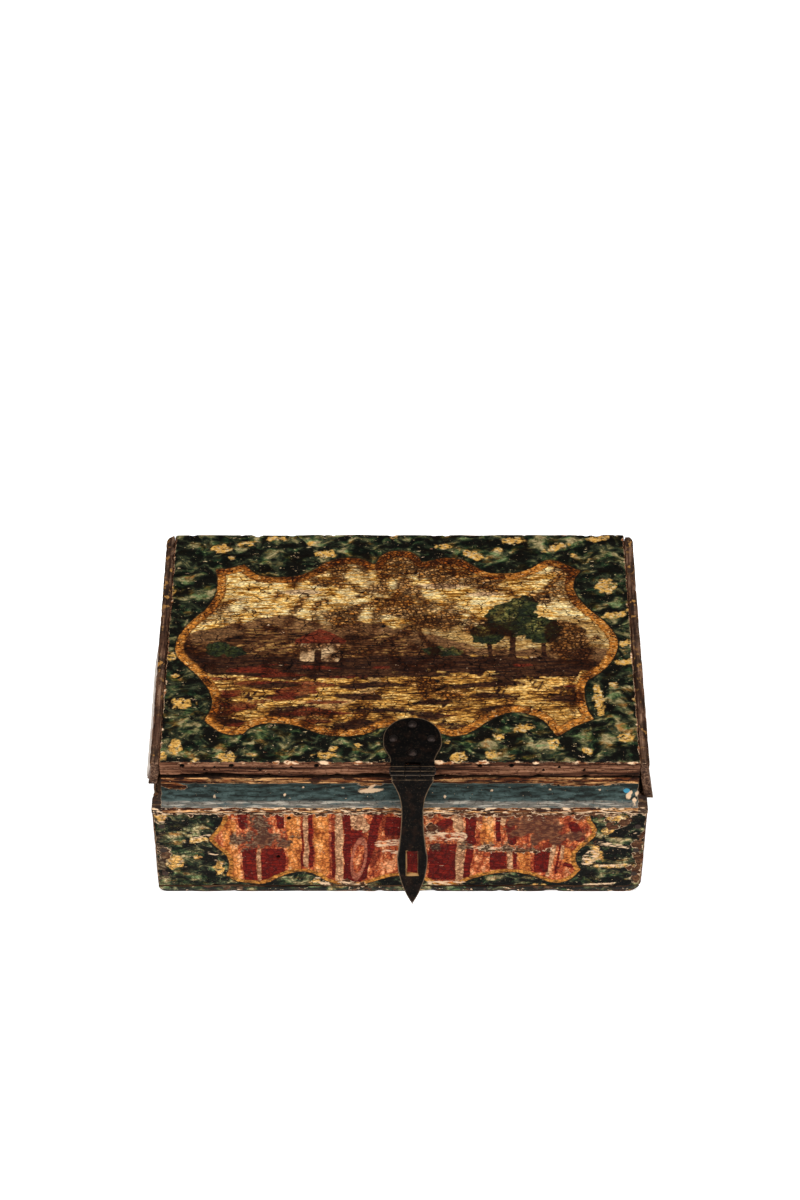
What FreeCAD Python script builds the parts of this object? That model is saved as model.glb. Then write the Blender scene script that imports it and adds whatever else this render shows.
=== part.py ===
"""Painted wooden box with a flat lid on pivot pins and an iron hasp, in millimetres.

The origin is on the table under the middle of the case. +X is to the right, +Z is up and the front
faces -Y. Each piece is an object of its own, and its sizes follow the sheet named Sizes.
"""

import FreeCAD
import Part
import Sketcher

import math
import os

SIZES = {
    # Case
    "case_width": 340.0,
    "case_depth": 234.6,
    "bottom_thickness": 6.0,
    "front_thickness": 20.0,
    "side_thickness": 12.0,
    "back_thickness": 12.0,
    # Height of the moulding's lip above the table
    "lip_height": 90.3,
    # Moulding on the front board: lip, then cove, then upright fillet
    "lip_thickness": 5.0,
    "lip_depth": 5.0,
    "cove_depth": 7.0,
    "cove_height": 9.6,
    "fillet_height": 7.4,
    # Lid
    "lid_thickness": 15.2,
    "front_gap": 1.2,
    "seat_clearance": 0.3,
    "cheek_thickness": 6.0,
    "cheek_clearance": 0.4,
    "ledge_clearance": 0.5,
    "cheek_nose_radius": 3.0,
    # How far a cheek's end leans in at the top, which lets the lid open past upright
    "cheek_end_set": 6.0,
    # Pivot pins of the lid
    "pivot_inset": 8.8,
    "pivot_diameter": 4.0,
    "pivot_head_diameter": 8.0,
    "pivot_head_height": 2.0,
    "pivot_head_gap": 0.3,
    "pivot_cover": 1.2,
    # Nails with flat heads driven flush: in the walls and cheeks, under the bottom and in the moulding
    "nail_diameter": 2.2,
    "nail_head_diameter": 4.6,
    "nail_head_height": 1.2,
    "front_nail_length": 45.0,
    "back_nail_length": 34.0,
    "cheek_nail_length": 28.0,
    "bottom_nail_diameter": 2.0,
    "bottom_nail_head_diameter": 5.0,
    "bottom_nail_head_height": 1.0,
    "bottom_nail_length": 26.0,
    "brad_diameter": 1.6,
    "brad_head_diameter": 3.0,
    "brad_head_height": 0.8,
    "brad_length": 40.0,
    "nail_clearance": 0.05,
    # Hasp: plate, its nails and the hinge
    "hasp_offset": 8.7,
    "plate_diameter": 40.0,
    "plate_reach": 20.4,
    "plate_thickness": 1.6,
    "plate_nail_ring_radius": 13.0,
    "plate_nail_diameter": 2.4,
    "plate_nail_head_diameter": 6.6,
    "plate_nail_head_height": 1.8,
    "plate_nail_length": 13.0,
    "barrel_diameter": 8.0,
    "barrel_length": 30.0,
    "barrel_clearance": 0.6,
    "knuckle_length": 10.0,
    "knuckle_gap": 0.3,
    "hasp_pin_diameter": 4.4,
    "hasp_pin_overhang": 0.8,
    "running_clearance": 0.06,
    # Hasp strap, with distances along it from the hinge
    "strap_thickness": 2.5,
    "strap_clearance": 0.3,
    "strap_length": 109.2,
    "shoulder_gap": 0.7,
    "shoulder_width": 28.6,
    "neck_width": 15.0,
    "neck_distance": 32.8,
    "belly_width": 21.0,
    "belly_distance": 70.7,
    "slot_width": 8.8,
    "slot_length": 20.6,
    "slot_distance": 65.0,
    # How far a cutting shape runs past the piece that it cuts
    "overrun": 1.0,
}

# Places of the nails, as shares of the length of the board that they stand in
WALL_NAIL_SHARES = (0.18, 0.5, 0.82)
BOTTOM_ROW_SHARES = (0.12, 0.37, 0.63, 0.88)
BOTTOM_SIDE_SHARES = (0.32, 0.68)
BRAD_SHARES = (0.06, 0.28, 0.5, 0.72, 0.94)
CHEEK_NAIL_SHARES = (0.08, 0.36, 0.64, 0.9)

SHEET = "Sizes"


def size(name):
    """Returns the reference to one named size, for an expression."""
    if name not in SIZES:
        raise KeyError(name)
    return f"{SHEET}.{name}"


def total(*terms):
    """Returns the sum of terms: names of sizes, with a minus in front where one is taken away."""
    text = ""
    for term in terms:
        if term.startswith("-"):
            text += f" - {size(term[1:])}"
        else:
            text += f" + {size(term)}"
    return f"({text.removeprefix(' + ').strip()})"


# Levels and places that several pieces share
HALF_WIDTH = f"({size('case_width')} / 2)"
FRONT_Y = f"(-{size('case_depth')} / 2)"
BACK_Y = f"({size('case_depth')} / 2)"
LEDGE_Z = total("lip_height", "-lip_thickness")
WALL_HEIGHT = total("lip_height", "-lip_thickness", "-bottom_thickness")
MOULDING_HEIGHT = total("lip_thickness", "cove_height", "fillet_height")
LID_UNDER_Z = total("lip_height", "cove_height", "fillet_height", "front_gap")
LID_TOP_Z = f"({LID_UNDER_Z} + {size('lid_thickness')})"
LID_SETBACK = total("lip_depth", "cove_depth")
LID_FRONT_Y = f"({FRONT_Y} + {LID_SETBACK})"
LID_DEPTH = f"({size('case_depth')} - {LID_SETBACK})"
LID_WIDTH = f"({size('case_width')} - 2 * {size('cheek_thickness')})"
REBATE = total("cheek_thickness", "cheek_clearance")
SIDE_LENGTH = total("case_depth", "-front_thickness")
CHEEK_BOTTOM_Z = f"({LEDGE_Z} + {size('ledge_clearance')})"
CHEEK_HEIGHT = f"({LID_TOP_Z} - {CHEEK_BOTTOM_Z})"
PIVOT_Y = f"({BACK_Y} - {size('pivot_inset')})"
PIVOT_Z = f"({CHEEK_BOTTOM_Z} + {size('pivot_inset')})"
# The walls behind the pivot stay inside this radius, so that the lid's underside turns clear of them.
TURN_RADIUS = f"({LID_UNDER_Z} - {PIVOT_Z} - {size('seat_clearance')})"
TURN_END_Z = f"({PIVOT_Z} + sqrt({TURN_RADIUS} ^ 2 - {size('pivot_inset')} ^ 2))"
SEAT_Z = f"({LID_UNDER_Z} - {size('seat_clearance')})"
BARREL_RADIUS = f"({size('barrel_diameter')} / 2)"
HASP_Y = f"({LID_FRONT_Y} - {size('barrel_clearance')} - {BARREL_RADIUS})"
HASP_Z = f"({LID_TOP_Z} + {size('plate_thickness')} - {BARREL_RADIUS})"
OUTER_KNUCKLE = (
    f"(({size('barrel_length')} - {size('knuckle_length')}) / 2 - {size('knuckle_gap')})"
)

DOME = "dome"
SUNK = "sunk"


class Builder:
    """Adds bound shapes to one document and keeps the finished pieces by label."""

    def __init__(self):
        self.document = FreeCAD.newDocument("painted_box")
        self.pieces = []
        self.count = 0
        self.sheet = self.document.addObject("Spreadsheet::Sheet", SHEET)
        for row, (name, value) in enumerate(SIZES.items(), start=1):
            self.sheet.set(f"A{row}", name)
            self.sheet.set(f"B{row}", str(value))
            self.sheet.setAlias(f"B{row}", name)
        self.document.recompute()

    def value(self, expression):
        """Returns the number that an expression has now."""
        return float(self.sheet.evalExpression(expression))

    def add(self, kind, name):
        """Adds an object with a name that no other object has."""
        self.count += 1
        return self.document.addObject(kind, f"{name}_{self.count}")

    def place(self, thing, point, direction=None):
        """Binds a thing's place to three expressions and turns its +Z to a direction."""
        if direction is not None:
            turn = FreeCAD.Rotation(FreeCAD.Vector(0, 0, 1), FreeCAD.Vector(*direction))
            thing.Placement = FreeCAD.Placement(FreeCAD.Vector(), turn)
        for axis, expression in zip("xyz", point):
            thing.setExpression(f"Placement.Base.{axis}", expression)
        return thing

    def box(self, name, extents, point):
        """Adds a block with its least corner at a point."""
        block = self.add("Part::Box", name)
        for key, expression in zip(("Length", "Width", "Height"), extents):
            block.setExpression(key, expression)
        return self.place(block, point)

    def rod(self, name, diameter, length, point, direction):
        """Adds a round rod that starts at a point and runs along a direction."""
        rod = self.add("Part::Cylinder", name)
        rod.setExpression("Radius", f"({diameter}) / 2")
        rod.setExpression("Height", length)
        return self.place(rod, point, direction)

    def dome(self, name, diameter, height, point, direction):
        """Adds a half round head that stands on a surface at a point."""
        dome = self.add("Part::Ellipsoid", name)
        dome.Angle1 = 0
        dome.setExpression("Radius1", height)
        dome.setExpression("Radius2", f"({diameter}) / 2")
        dome.setExpression("Radius3", f"({diameter}) / 2")
        return self.place(dome, point, direction)

    def fuse(self, name, parts):
        """Adds the union of several shapes."""
        union = self.add("Part::MultiFuse", name)
        union.Shapes = parts
        return union

    def cut(self, name, base, tools):
        """Adds a base with all tools taken away."""
        group = self.add("Part::Compound", f"{name}_cuts")
        group.Links = tools
        rest = self.add("Part::Cut", name)
        rest.Base = base
        rest.Tool = group
        return rest

    def group(self, name, parts):
        """Adds one object that holds several solids."""
        group = self.add("Part::Compound", name)
        group.Links = parts
        return group

    def finish(self, label, thing):
        """Names a finished piece."""
        thing.Label = label
        self.pieces.append(thing)
        return thing

    def slab(self, name, plane, loops, thickness, point):
        """Adds a body padded from a sketch of closed loops on one of its own origin planes."""
        self.count += 1
        body = self.document.addObject("PartDesign::Body", f"{name}_{self.count}")
        sketch = body.newObject("Sketcher::SketchObject", f"{name}_outline_{self.count}")
        support = next(part for part in body.Origin.OriginFeatures if part.Role == plane)
        sketch.AttachmentSupport = [(support, "")]
        sketch.MapMode = "FlatFace"
        for loop in loops:
            self.draw(sketch, loop)
        pad = body.newObject("PartDesign::Pad", f"{name}_pad_{self.count}")
        pad.Profile = sketch
        pad.setExpression("Length", thickness)
        return self.place(body, point)

    def draw(self, sketch, loop):
        """Draws a closed loop of corners, each with the edge that leaves it.

        A corner is a pair of expressions. An edge is None for a straight one, or a radius and a sign:
        1 turns the arc anticlockwise and -1 clockwise.
        """
        spots = [FreeCAD.Vector(self.value(x), self.value(y), 0) for (x, y), _ in loop]
        first = sketch.GeometryCount
        ends = []
        for index, (_, edge) in enumerate(loop):
            start = spots[index]
            stop = spots[(index + 1) % len(spots)]
            if edge is None:
                sketch.addGeometry(Part.LineSegment(start, stop), False)
                ends.append((1, 2))
            else:
                radius, sign = edge
                sketch.addGeometry(arc_between(start, stop, self.value(radius), sign), False)
                ends.append((1, 2) if sign > 0 else (2, 1))
        for index, (corner, edge) in enumerate(loop):
            here = first + index
            before = first + (index - 1) % len(loop)
            sketch.addConstraint(
                Sketcher.Constraint("Coincident", before, ends[index - 1][1], here, ends[index][0])
            )
            for kind, axis, expression, place in (
                ("DistanceX", -2, corner[0], spots[index].x),
                ("DistanceY", -1, corner[1], spots[index].y),
            ):
                if expression == "0":
                    sketch.addConstraint(
                        Sketcher.Constraint("PointOnObject", here, ends[index][0], axis)
                    )
                else:
                    number = sketch.addConstraint(
                        Sketcher.Constraint(kind, -1, 1, here, ends[index][0], place)
                    )
                    sketch.setExpression(f"Constraints[{number}]", expression)
            if edge is not None:
                number = sketch.addConstraint(
                    Sketcher.Constraint("Radius", here, self.value(edge[0]))
                )
                sketch.setExpression(f"Constraints[{number}]", edge[0])

    def nail(self, name, point, outward, length, head):
        """Adds a nail and the shapes that cut its hole.

        Args: the point where it meets the surface, the direction that its head faces, its length and
        a head, which is a kind and the first part of its sizes' names.
        Returns: the nail and a list of cutting shapes.
        """
        kind, family = head
        diameter = size(f"{family}_diameter")
        wide = size(f"{family}_head_diameter")
        high = size(f"{family}_head_height")
        gap = size("nail_clearance")
        inward = tuple(-part for part in outward)
        outside = moved(point, outward, size("overrun"))
        shank = self.rod(f"{name}_shank", diameter, length, point, inward)
        deep = f"{length} + {gap} + {size('overrun')}"
        cuts = [self.rod(f"{name}_hole", f"{diameter} + 2 * {gap}", deep, outside, inward)]
        if kind == DOME:
            top = self.dome(f"{name}_head", wide, high, point, outward)
        else:
            top = self.rod(f"{name}_head", wide, high, point, inward)
            seat = f"{high} + {gap} + {size('overrun')}"
            cuts.append(self.rod(f"{name}_seat", f"{wide} + 2 * {gap}", seat, outside, inward))
        return self.fuse(name, [shank, top]), cuts


def moved(point, direction, distance):
    """Returns a point's expressions after a step along an axis direction."""
    return tuple(f"{place} + ({step}) * {distance}" for place, step in zip(point, direction))


def arc_between(start, stop, radius, sign):
    """Returns the short arc between two points, anticlockwise for 1 and clockwise for -1."""
    chord = stop - start
    left = FreeCAD.Vector(-chord.y, chord.x, 0).normalize()
    rise = math.sqrt(max(radius**2 - (chord.Length / 2) ** 2, 0))
    centre = (start + stop) * 0.5 + left * (rise * sign)
    low, high = (start, stop) if sign > 0 else (stop, start)
    begin = math.atan2(low.y - centre.y, low.x - centre.x)
    end = math.atan2(high.y - centre.y, high.x - centre.x)
    if end < begin:
        end += 2 * math.pi
    circle = Part.Circle(centre, FreeCAD.Vector(0, 0, 1), radius)
    return Part.ArcOfCircle(circle, begin, end)


def sagitta_radius(along, across):
    """Returns the radius of an arc that leaves one end along it and ends a step across."""
    return f"(({along}) ^ 2 + ({across}) ^ 2) / (2 * ({across}))"


def spread(start, length, share):
    """Returns the place at a share of a length."""
    return f"{start} + {share} * {length}"


def make_nails(builder):
    """Makes all nails and returns the hole shapes of each set, by side where a board needs that."""
    holes = {}
    wall_nail = (SUNK, "nail")
    middle_x = f"({HALF_WIDTH} - {size('side_thickness')} / 2)"
    back_row_y = f"({BACK_Y} - {size('back_thickness')} / 2)"
    front_row_y = f"({FRONT_Y} + {size('front_thickness')} / 2)"

    front, back, cheek = [], [], []
    for side, sign in (("left", -1), ("right", 1)):
        for share in WALL_NAIL_SHARES:
            level = spread(size("bottom_thickness"), WALL_HEIGHT, share)
            point = (f"{sign} * {middle_x}", FRONT_Y, level)
            nail, cuts = builder.nail(
                "front_nail", point, (0, -1, 0), size("front_nail_length"), wall_nail
            )
            front.append(nail)
            holes.setdefault(f"front_{side}", []).extend(cuts)
            point = (f"{sign} * {HALF_WIDTH}", back_row_y, level)
            nail, cuts = builder.nail(
                "back_nail", point, (sign, 0, 0), size("back_nail_length"), wall_nail
            )
            back.append(nail)
            holes.setdefault(f"back_{side}", []).extend(cuts)
        for share in CHEEK_NAIL_SHARES:
            level = f"({LID_UNDER_Z} + {size('lid_thickness')} / 2)"
            point = (f"{sign} * {HALF_WIDTH}", spread(LID_FRONT_Y, LID_DEPTH, share), level)
            nail, cuts = builder.nail(
                "cheek_nail", point, (sign, 0, 0), size("cheek_nail_length"), wall_nail
            )
            cheek.append(nail)
            holes.setdefault(f"cheek_{side}", []).extend(cuts)
    builder.finish("front_nails", builder.group("front_nails", front))
    builder.finish("back_nails", builder.group("back_nails", back))
    builder.finish("cheek_nails", builder.group("cheek_nails", cheek))

    bottom = []
    inner_width = f"({size('case_width')} - 2 * {size('side_thickness')})"
    inner_left = f"(-{inner_width} / 2)"
    rows = []
    for key, row_y in (("bottom_front", front_row_y), ("bottom_back", back_row_y)):
        for share in BOTTOM_ROW_SHARES:
            rows.append((key, spread(inner_left, inner_width, share), row_y))
    for side, sign in (("left", -1), ("right", 1)):
        for share in BOTTOM_SIDE_SHARES:
            along = f"{FRONT_Y} + {size('front_thickness')} + {share} * {SIDE_LENGTH}"
            rows.append((f"bottom_{side}", f"{sign} * {middle_x}", along))
    for key, across, along in rows:
        nail, cuts = builder.nail(
            "bottom_nail",
            (across, along, "0"),
            (0, 0, -1),
            size("bottom_nail_length"),
            (SUNK, "bottom_nail"),
        )
        bottom.append(nail)
        holes.setdefault(key, []).extend(cuts)
    builder.finish("bottom_nails", builder.group("bottom_nails", bottom))

    brads = []
    land_y = f"({FRONT_Y} + ({LID_SETBACK} + {size('front_thickness')}) / 2)"
    for share in BRAD_SHARES:
        point = (spread(inner_left, inner_width, share), land_y, f"{LEDGE_Z} + {MOULDING_HEIGHT}")
        nail, cuts = builder.nail("brad", point, (0, 0, 1), size("brad_length"), (SUNK, "brad"))
        brads.append(nail)
        holes.setdefault("brads", []).extend(cuts)
    builder.finish("moulding_brads", builder.group("moulding_brads", brads))

    plate = []
    ring = size("plate_nail_ring_radius")
    for across, along in ((-1, 0), (1, 0), (0, -1), (0, 1)):
        point = (
            f"{size('hasp_offset')} + ({across}) * {ring}",
            f"{LID_FRONT_Y} + {size('plate_reach')} + ({along}) * {ring}",
            f"{LID_TOP_Z} + {size('plate_thickness')}",
        )
        nail, cuts = builder.nail(
            "plate_nail", point, (0, 0, 1), size("plate_nail_length"), (DOME, "plate_nail")
        )
        plate.append(nail)
        holes.setdefault("plate", []).extend(cuts)
    builder.finish("hasp_plate_nails", builder.group("hasp_plate_nails", plate))
    return holes


def make_pivot_pins(builder):
    """Makes the lid's two pivot pins and returns their holes in the sides and in the cheeks."""
    holes = {}
    reach = (
        f"({size('pivot_head_gap')} + {size('side_thickness')} - {size('pivot_cover')})"
    )
    for side, sign in (("left", -1), ("right", 1)):
        outward = (sign, 0, 0)
        inward = (-sign, 0, 0)
        point = (f"{sign} * ({HALF_WIDTH} + {size('pivot_head_gap')})", PIVOT_Y, PIVOT_Z)
        diameter = size("pivot_diameter")
        shank = builder.rod("pivot_shank", diameter, reach, point, inward)
        head = builder.dome(
            "pivot_head", size("pivot_head_diameter"), size("pivot_head_height"), point, outward
        )
        builder.finish(f"{side}_pivot_pin", builder.fuse("pivot_pin", [shank, head]))
        for key, gap in (("pivot_side", "nail_clearance"), ("pivot_cheek", "running_clearance")):
            wide = f"{diameter} + 2 * {size(gap)}"
            deep = f"{reach} + {size(gap)} + {size('overrun')}"
            outside = moved(point, outward, size("overrun"))
            holes[f"{key}_{side}"] = [builder.rod("pivot_hole", wide, deep, outside, inward)]
    return holes


def make_case(builder, holes):
    """Makes the bottom, the four walls and the moulding."""
    width = size("case_width")
    left = f"(-{HALF_WIDTH})"
    bottom = builder.box(
        "bottom", (width, size("case_depth"), size("bottom_thickness")), (left, FRONT_Y, "0")
    )
    cuts = []
    for key in ("bottom_front", "bottom_back", "bottom_left", "bottom_right"):
        cuts += holes[key]
    builder.finish("bottom_board", builder.cut("bottom_board", bottom, cuts))

    front = builder.box(
        "front",
        (width, size("front_thickness"), WALL_HEIGHT),
        (left, FRONT_Y, size("bottom_thickness")),
    )
    cuts = holes["front_left"] + holes["front_right"] + holes["bottom_front"] + holes["brads"]
    builder.finish("front_board", builder.cut("front_board", front, cuts))

    make_moulding(builder, holes)

    side_y = f"({FRONT_Y} + {size('front_thickness')})"
    upper_thickness = f"({size('side_thickness')} - {REBATE})"
    right_x = f"({HALF_WIDTH} - {size('side_thickness')})"
    for side, lower_x, upper_x in (
        ("left", left, f"({REBATE} - {HALF_WIDTH})"),
        ("right", right_x, right_x),
    ):
        lower = builder.box(
            f"{side}_lower",
            (size("side_thickness"), SIDE_LENGTH, WALL_HEIGHT),
            (lower_x, side_y, size("bottom_thickness")),
        )
        outline = turned_outline(SIDE_LENGTH, LEDGE_Z)
        upper = builder.slab(
            f"{side}_upper", "YZ_Plane", [outline], upper_thickness, (upper_x, side_y, LEDGE_Z)
        )
        board = builder.fuse(f"{side}_side", [lower, upper])
        cuts = holes[f"front_{side}"] + holes[f"back_{side}"] + holes[f"bottom_{side}"]
        cuts = cuts + holes[f"pivot_side_{side}"]
        builder.finish(f"{side}_side_board", builder.cut(f"{side}_side_board", board, cuts))

    inner_width = f"({width} - 2 * {size('side_thickness')})"
    back = builder.slab(
        "back",
        "YZ_Plane",
        [turned_outline(size("back_thickness"), size("bottom_thickness"))],
        inner_width,
        (
            f"(-{inner_width} / 2)",
            f"({BACK_Y} - {size('back_thickness')})",
            size("bottom_thickness"),
        ),
    )
    cuts = holes["back_left"] + holes["back_right"] + holes["bottom_back"]
    builder.finish("back_board", builder.cut("back_board", back, cuts))


def turned_outline(length, base):
    """Returns a wall's outline, seen from the side, with its back top corner rounded about the pivot."""
    top = f"({SEAT_Z} - {base})"
    return [
        (("0", "0"), None),
        ((length, "0"), None),
        ((length, f"({TURN_END_Z} - {base})"), (TURN_RADIUS, 1)),
        ((f"({length} - {size('pivot_inset')})", top), None),
        (("0", top), None),
    ]


def make_moulding(builder, holes):
    """Makes the strip on the front board, notched at both ends for the lid's cheeks."""
    lip = size("lip_depth")
    rise = size("lip_thickness")
    cove_top = total("lip_thickness", "cove_height")
    outline = [
        (("0", "0"), None),
        ((size("front_thickness"), "0"), None),
        ((size("front_thickness"), MOULDING_HEIGHT), None),
        ((LID_SETBACK, MOULDING_HEIGHT), None),
        ((LID_SETBACK, cove_top), (sagitta_radius(size("cove_height"), size("cove_depth")), -1)),
        ((lip, rise), None),
        (("0", rise), None),
    ]
    strip = builder.slab(
        "moulding", "YZ_Plane", [outline], size("case_width"), (f"(-{HALF_WIDTH})", FRONT_Y, LEDGE_Z)
    )
    cuts = list(holes["brads"])
    past = size("overrun")
    wide = f"({REBATE} + {past})"
    behind = f"({LID_SETBACK} - {size('cheek_clearance')})"
    for corner_x in (f"(-{HALF_WIDTH} - {past})", f"({HALF_WIDTH} - {REBATE})"):
        cuts.append(
            builder.box(
                "notch_above_lip",
                (wide, f"{size('front_thickness')} + 2 * {past}", f"{MOULDING_HEIGHT} + {past}"),
                (corner_x, f"{FRONT_Y} - {past}", size("lip_height")),
            )
        )
        cuts.append(
            builder.box(
                "notch_behind_lip",
                (
                    wide,
                    f"{size('front_thickness')} - {behind} + {past}",
                    f"{MOULDING_HEIGHT} + 2 * {past}",
                ),
                (corner_x, f"{FRONT_Y} + {behind}", f"{LEDGE_Z} - {past}"),
            )
        )
    builder.finish("cove_moulding", builder.cut("cove_moulding", strip, cuts))


def make_lid(builder, holes):
    """Makes the lid board and the two cheeks on its ends."""
    board = builder.box(
        "lid",
        (LID_WIDTH, LID_DEPTH, size("lid_thickness")),
        (f"(-{LID_WIDTH} / 2)", LID_FRONT_Y, LID_UNDER_Z),
    )
    cuts = holes["cheek_left"] + holes["cheek_right"] + holes["plate"]
    builder.finish("lid_board", builder.cut("lid_board", board, cuts))

    round_end = size("pivot_inset")
    nose = size("cheek_nose_radius")
    outline = [
        ((nose, "0"), None),
        ((f"({LID_DEPTH} - {round_end})", "0"), (round_end, 1)),
        ((LID_DEPTH, round_end), None),
        ((f"({LID_DEPTH} - {size('cheek_end_set')})", CHEEK_HEIGHT), None),
        (("0", CHEEK_HEIGHT), None),
        (("0", nose), (nose, 1)),
    ]
    for side, start_x in (
        ("left", f"(-{HALF_WIDTH})"),
        ("right", f"({HALF_WIDTH} - {size('cheek_thickness')})"),
    ):
        cheek = builder.slab(
            f"{side}_cheek",
            "YZ_Plane",
            [outline],
            size("cheek_thickness"),
            (start_x, LID_FRONT_Y, CHEEK_BOTTOM_Z),
        )
        cuts = holes[f"cheek_{side}"] + holes[f"pivot_cheek_{side}"]
        builder.finish(f"{side}_cheek", builder.cut(f"{side}_cheek", cheek, cuts))


def make_hasp(builder, holes):
    """Makes the plate with its knuckles, the pin and the hanging strap."""
    middle = size("hasp_offset")
    barrel_left = f"({middle} - {size('barrel_length')} / 2)"
    plate_y = f"({LID_FRONT_Y} + {size('plate_reach')})"
    disc = builder.rod(
        "plate_disc",
        size("plate_diameter"),
        size("plate_thickness"),
        (middle, plate_y, LID_TOP_Z),
        (0, 0, 1),
    )
    tongue = builder.box(
        "plate_tongue",
        (size("barrel_length"), size("plate_reach"), size("plate_thickness")),
        (barrel_left, LID_FRONT_Y, LID_TOP_Z),
    )
    parts = [disc, tongue]
    second = f"({middle} + {size('barrel_length')} / 2 - {OUTER_KNUCKLE})"
    for start in (barrel_left, second):
        parts.append(
            builder.box(
                "plate_tab",
                (OUTER_KNUCKLE, f"{LID_FRONT_Y} - {HASP_Y}", size("plate_thickness")),
                (start, HASP_Y, LID_TOP_Z),
            )
        )
        parts.append(
            builder.rod(
                "plate_knuckle",
                size("barrel_diameter"),
                OUTER_KNUCKLE,
                (start, HASP_Y, HASP_Z),
                (1, 0, 0),
            )
        )
    past = size("overrun")
    pin_size = size("hasp_pin_diameter")
    bore = builder.rod(
        "plate_bore",
        f"{pin_size} + 2 * {size('nail_clearance')}",
        f"{size('barrel_length')} + 2 * {past}",
        (f"{barrel_left} - {past}", HASP_Y, HASP_Z),
        (1, 0, 0),
    )
    plate = builder.fuse("plate", parts)
    builder.finish("hasp_plate", builder.cut("hasp_plate", plate, holes["plate"] + [bore]))

    overhang = size("hasp_pin_overhang")
    pin = builder.rod(
        "hasp_pin",
        pin_size,
        f"{size('barrel_length')} + 2 * {overhang}",
        (f"{barrel_left} - {overhang}", HASP_Y, HASP_Z),
        (1, 0, 0),
    )
    builder.finish("hasp_pin", pin)
    make_strap(builder)


def make_strap(builder):
    """Makes the strap in its own plane, along +Y from the hinge, then hangs it against the lip."""
    middle = f"({size('shoulder_width')} / 2)"
    neck = size("neck_distance")
    belly = size("belly_distance")
    shoulder = f"({BARREL_RADIUS} + {size('shoulder_gap')})"
    flank = sagitta_radius(
        f"{neck} - {shoulder}", f"({size('shoulder_width')} - {size('neck_width')}) / 2"
    )
    waist = sagitta_radius(f"{belly} - {neck}", f"({size('belly_width')} - {size('neck_width')}) / 2")
    point = sagitta_radius(f"{size('strap_length')} - {belly}", f"{size('belly_width')} / 2")

    def across(name, sign):
        """Returns the place of one edge of a width."""
        return f"({middle} + ({sign}) * {size(name)} / 2)"

    outline = [
        ((across("knuckle_length", -1), "0"), None),
        ((across("knuckle_length", 1), "0"), None),
        ((across("knuckle_length", 1), shoulder), None),
        ((across("shoulder_width", 1), shoulder), (flank, -1)),
        ((across("neck_width", 1), neck), (waist, -1)),
        ((across("belly_width", 1), belly), (point, 1)),
        ((middle, size("strap_length")), (point, 1)),
        ((across("belly_width", -1), belly), (waist, -1)),
        ((across("neck_width", -1), neck), (flank, -1)),
        ((across("shoulder_width", -1), shoulder), None),
        ((across("knuckle_length", -1), shoulder), None),
    ]
    slot_end = total("slot_distance", "slot_length")
    slot = [
        ((across("slot_width", -1), size("slot_distance")), None),
        ((across("slot_width", 1), size("slot_distance")), None),
        ((across("slot_width", 1), slot_end), None),
        ((across("slot_width", -1), slot_end), None),
    ]
    leaf = builder.slab(
        "strap_leaf",
        "XY_Plane",
        [outline, slot],
        size("strap_thickness"),
        (f"(-{middle})", "0", f"(-{size('strap_thickness')} / 2)"),
    )
    knuckle = builder.rod(
        "strap_knuckle",
        size("barrel_diameter"),
        size("knuckle_length"),
        (f"(-{size('knuckle_length')} / 2)", "0", "0"),
        (1, 0, 0),
    )
    past = size("overrun")
    bore = builder.rod(
        "strap_bore",
        f"{size('hasp_pin_diameter')} + 2 * {size('running_clearance')}",
        f"{size('knuckle_length')} + 2 * {past}",
        (f"(-{size('knuckle_length')} / 2 - {past})", "0", "0"),
        (1, 0, 0),
    )
    strap = builder.cut("hasp_strap", builder.fuse("strap", [leaf, knuckle]), [bore])
    strap.Placement = FreeCAD.Placement(
        FreeCAD.Vector(), FreeCAD.Rotation(FreeCAD.Vector(-1, 0, 0), 90)
    )
    builder.place(strap, (size("hasp_offset"), HASP_Y, HASP_Z))
    # The strap leans out just far enough to clear the lip's front edge.
    ahead = f"({HASP_Y} - {FRONT_Y})"
    drop = f"({HASP_Z} - {size('lip_height')})"
    stand = f"({size('strap_thickness')} / 2 + {size('strap_clearance')})"
    lean = f"atan({ahead} / {drop}) + asin({stand} / sqrt({ahead} ^ 2 + {drop} ^ 2))"
    strap.setExpression("Placement.Rotation.Angle", f"90 deg + {lean}")
    builder.finish("hasp_strap", strap)


def check(builder):
    """Raises an error if an object failed or a piece has no valid shape."""
    for thing in builder.document.Objects:
        if "Invalid" in thing.State or "Error" in thing.State:
            raise RuntimeError(f"{thing.Label} failed: {thing.State}")
    for piece in builder.pieces:
        shape = piece.Shape
        if shape.isNull() or not shape.isValid() or not shape.Solids:
            raise RuntimeError(f"{piece.Label} has no valid solid")
        print(f"{piece.Label}: {len(shape.Solids)} solids, {shape.Volume:.1f} mm3")


def main():
    """Builds the box and writes each piece to its own file."""
    builder = Builder()
    holes = make_nails(builder)
    holes.update(make_pivot_pins(builder))
    make_case(builder, holes)
    make_lid(builder, holes)
    make_hasp(builder, holes)
    builder.document.recompute()
    check(builder)
    os.makedirs("parts", exist_ok=True)
    for piece in builder.pieces:
        piece.Shape.exportStep(f"parts/{piece.Label}.step")


main()
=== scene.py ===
"""Painted wooden box with a flat lid and an iron hasp: its looks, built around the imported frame.

Shapes and patterns are worked out in millimetres in the part's own frame, with +X to the right, the front
at -Y and +Z up, and go into the meshes in metres.
"""

import logging
import math
from dataclasses import dataclass
from enum import Enum

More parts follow.
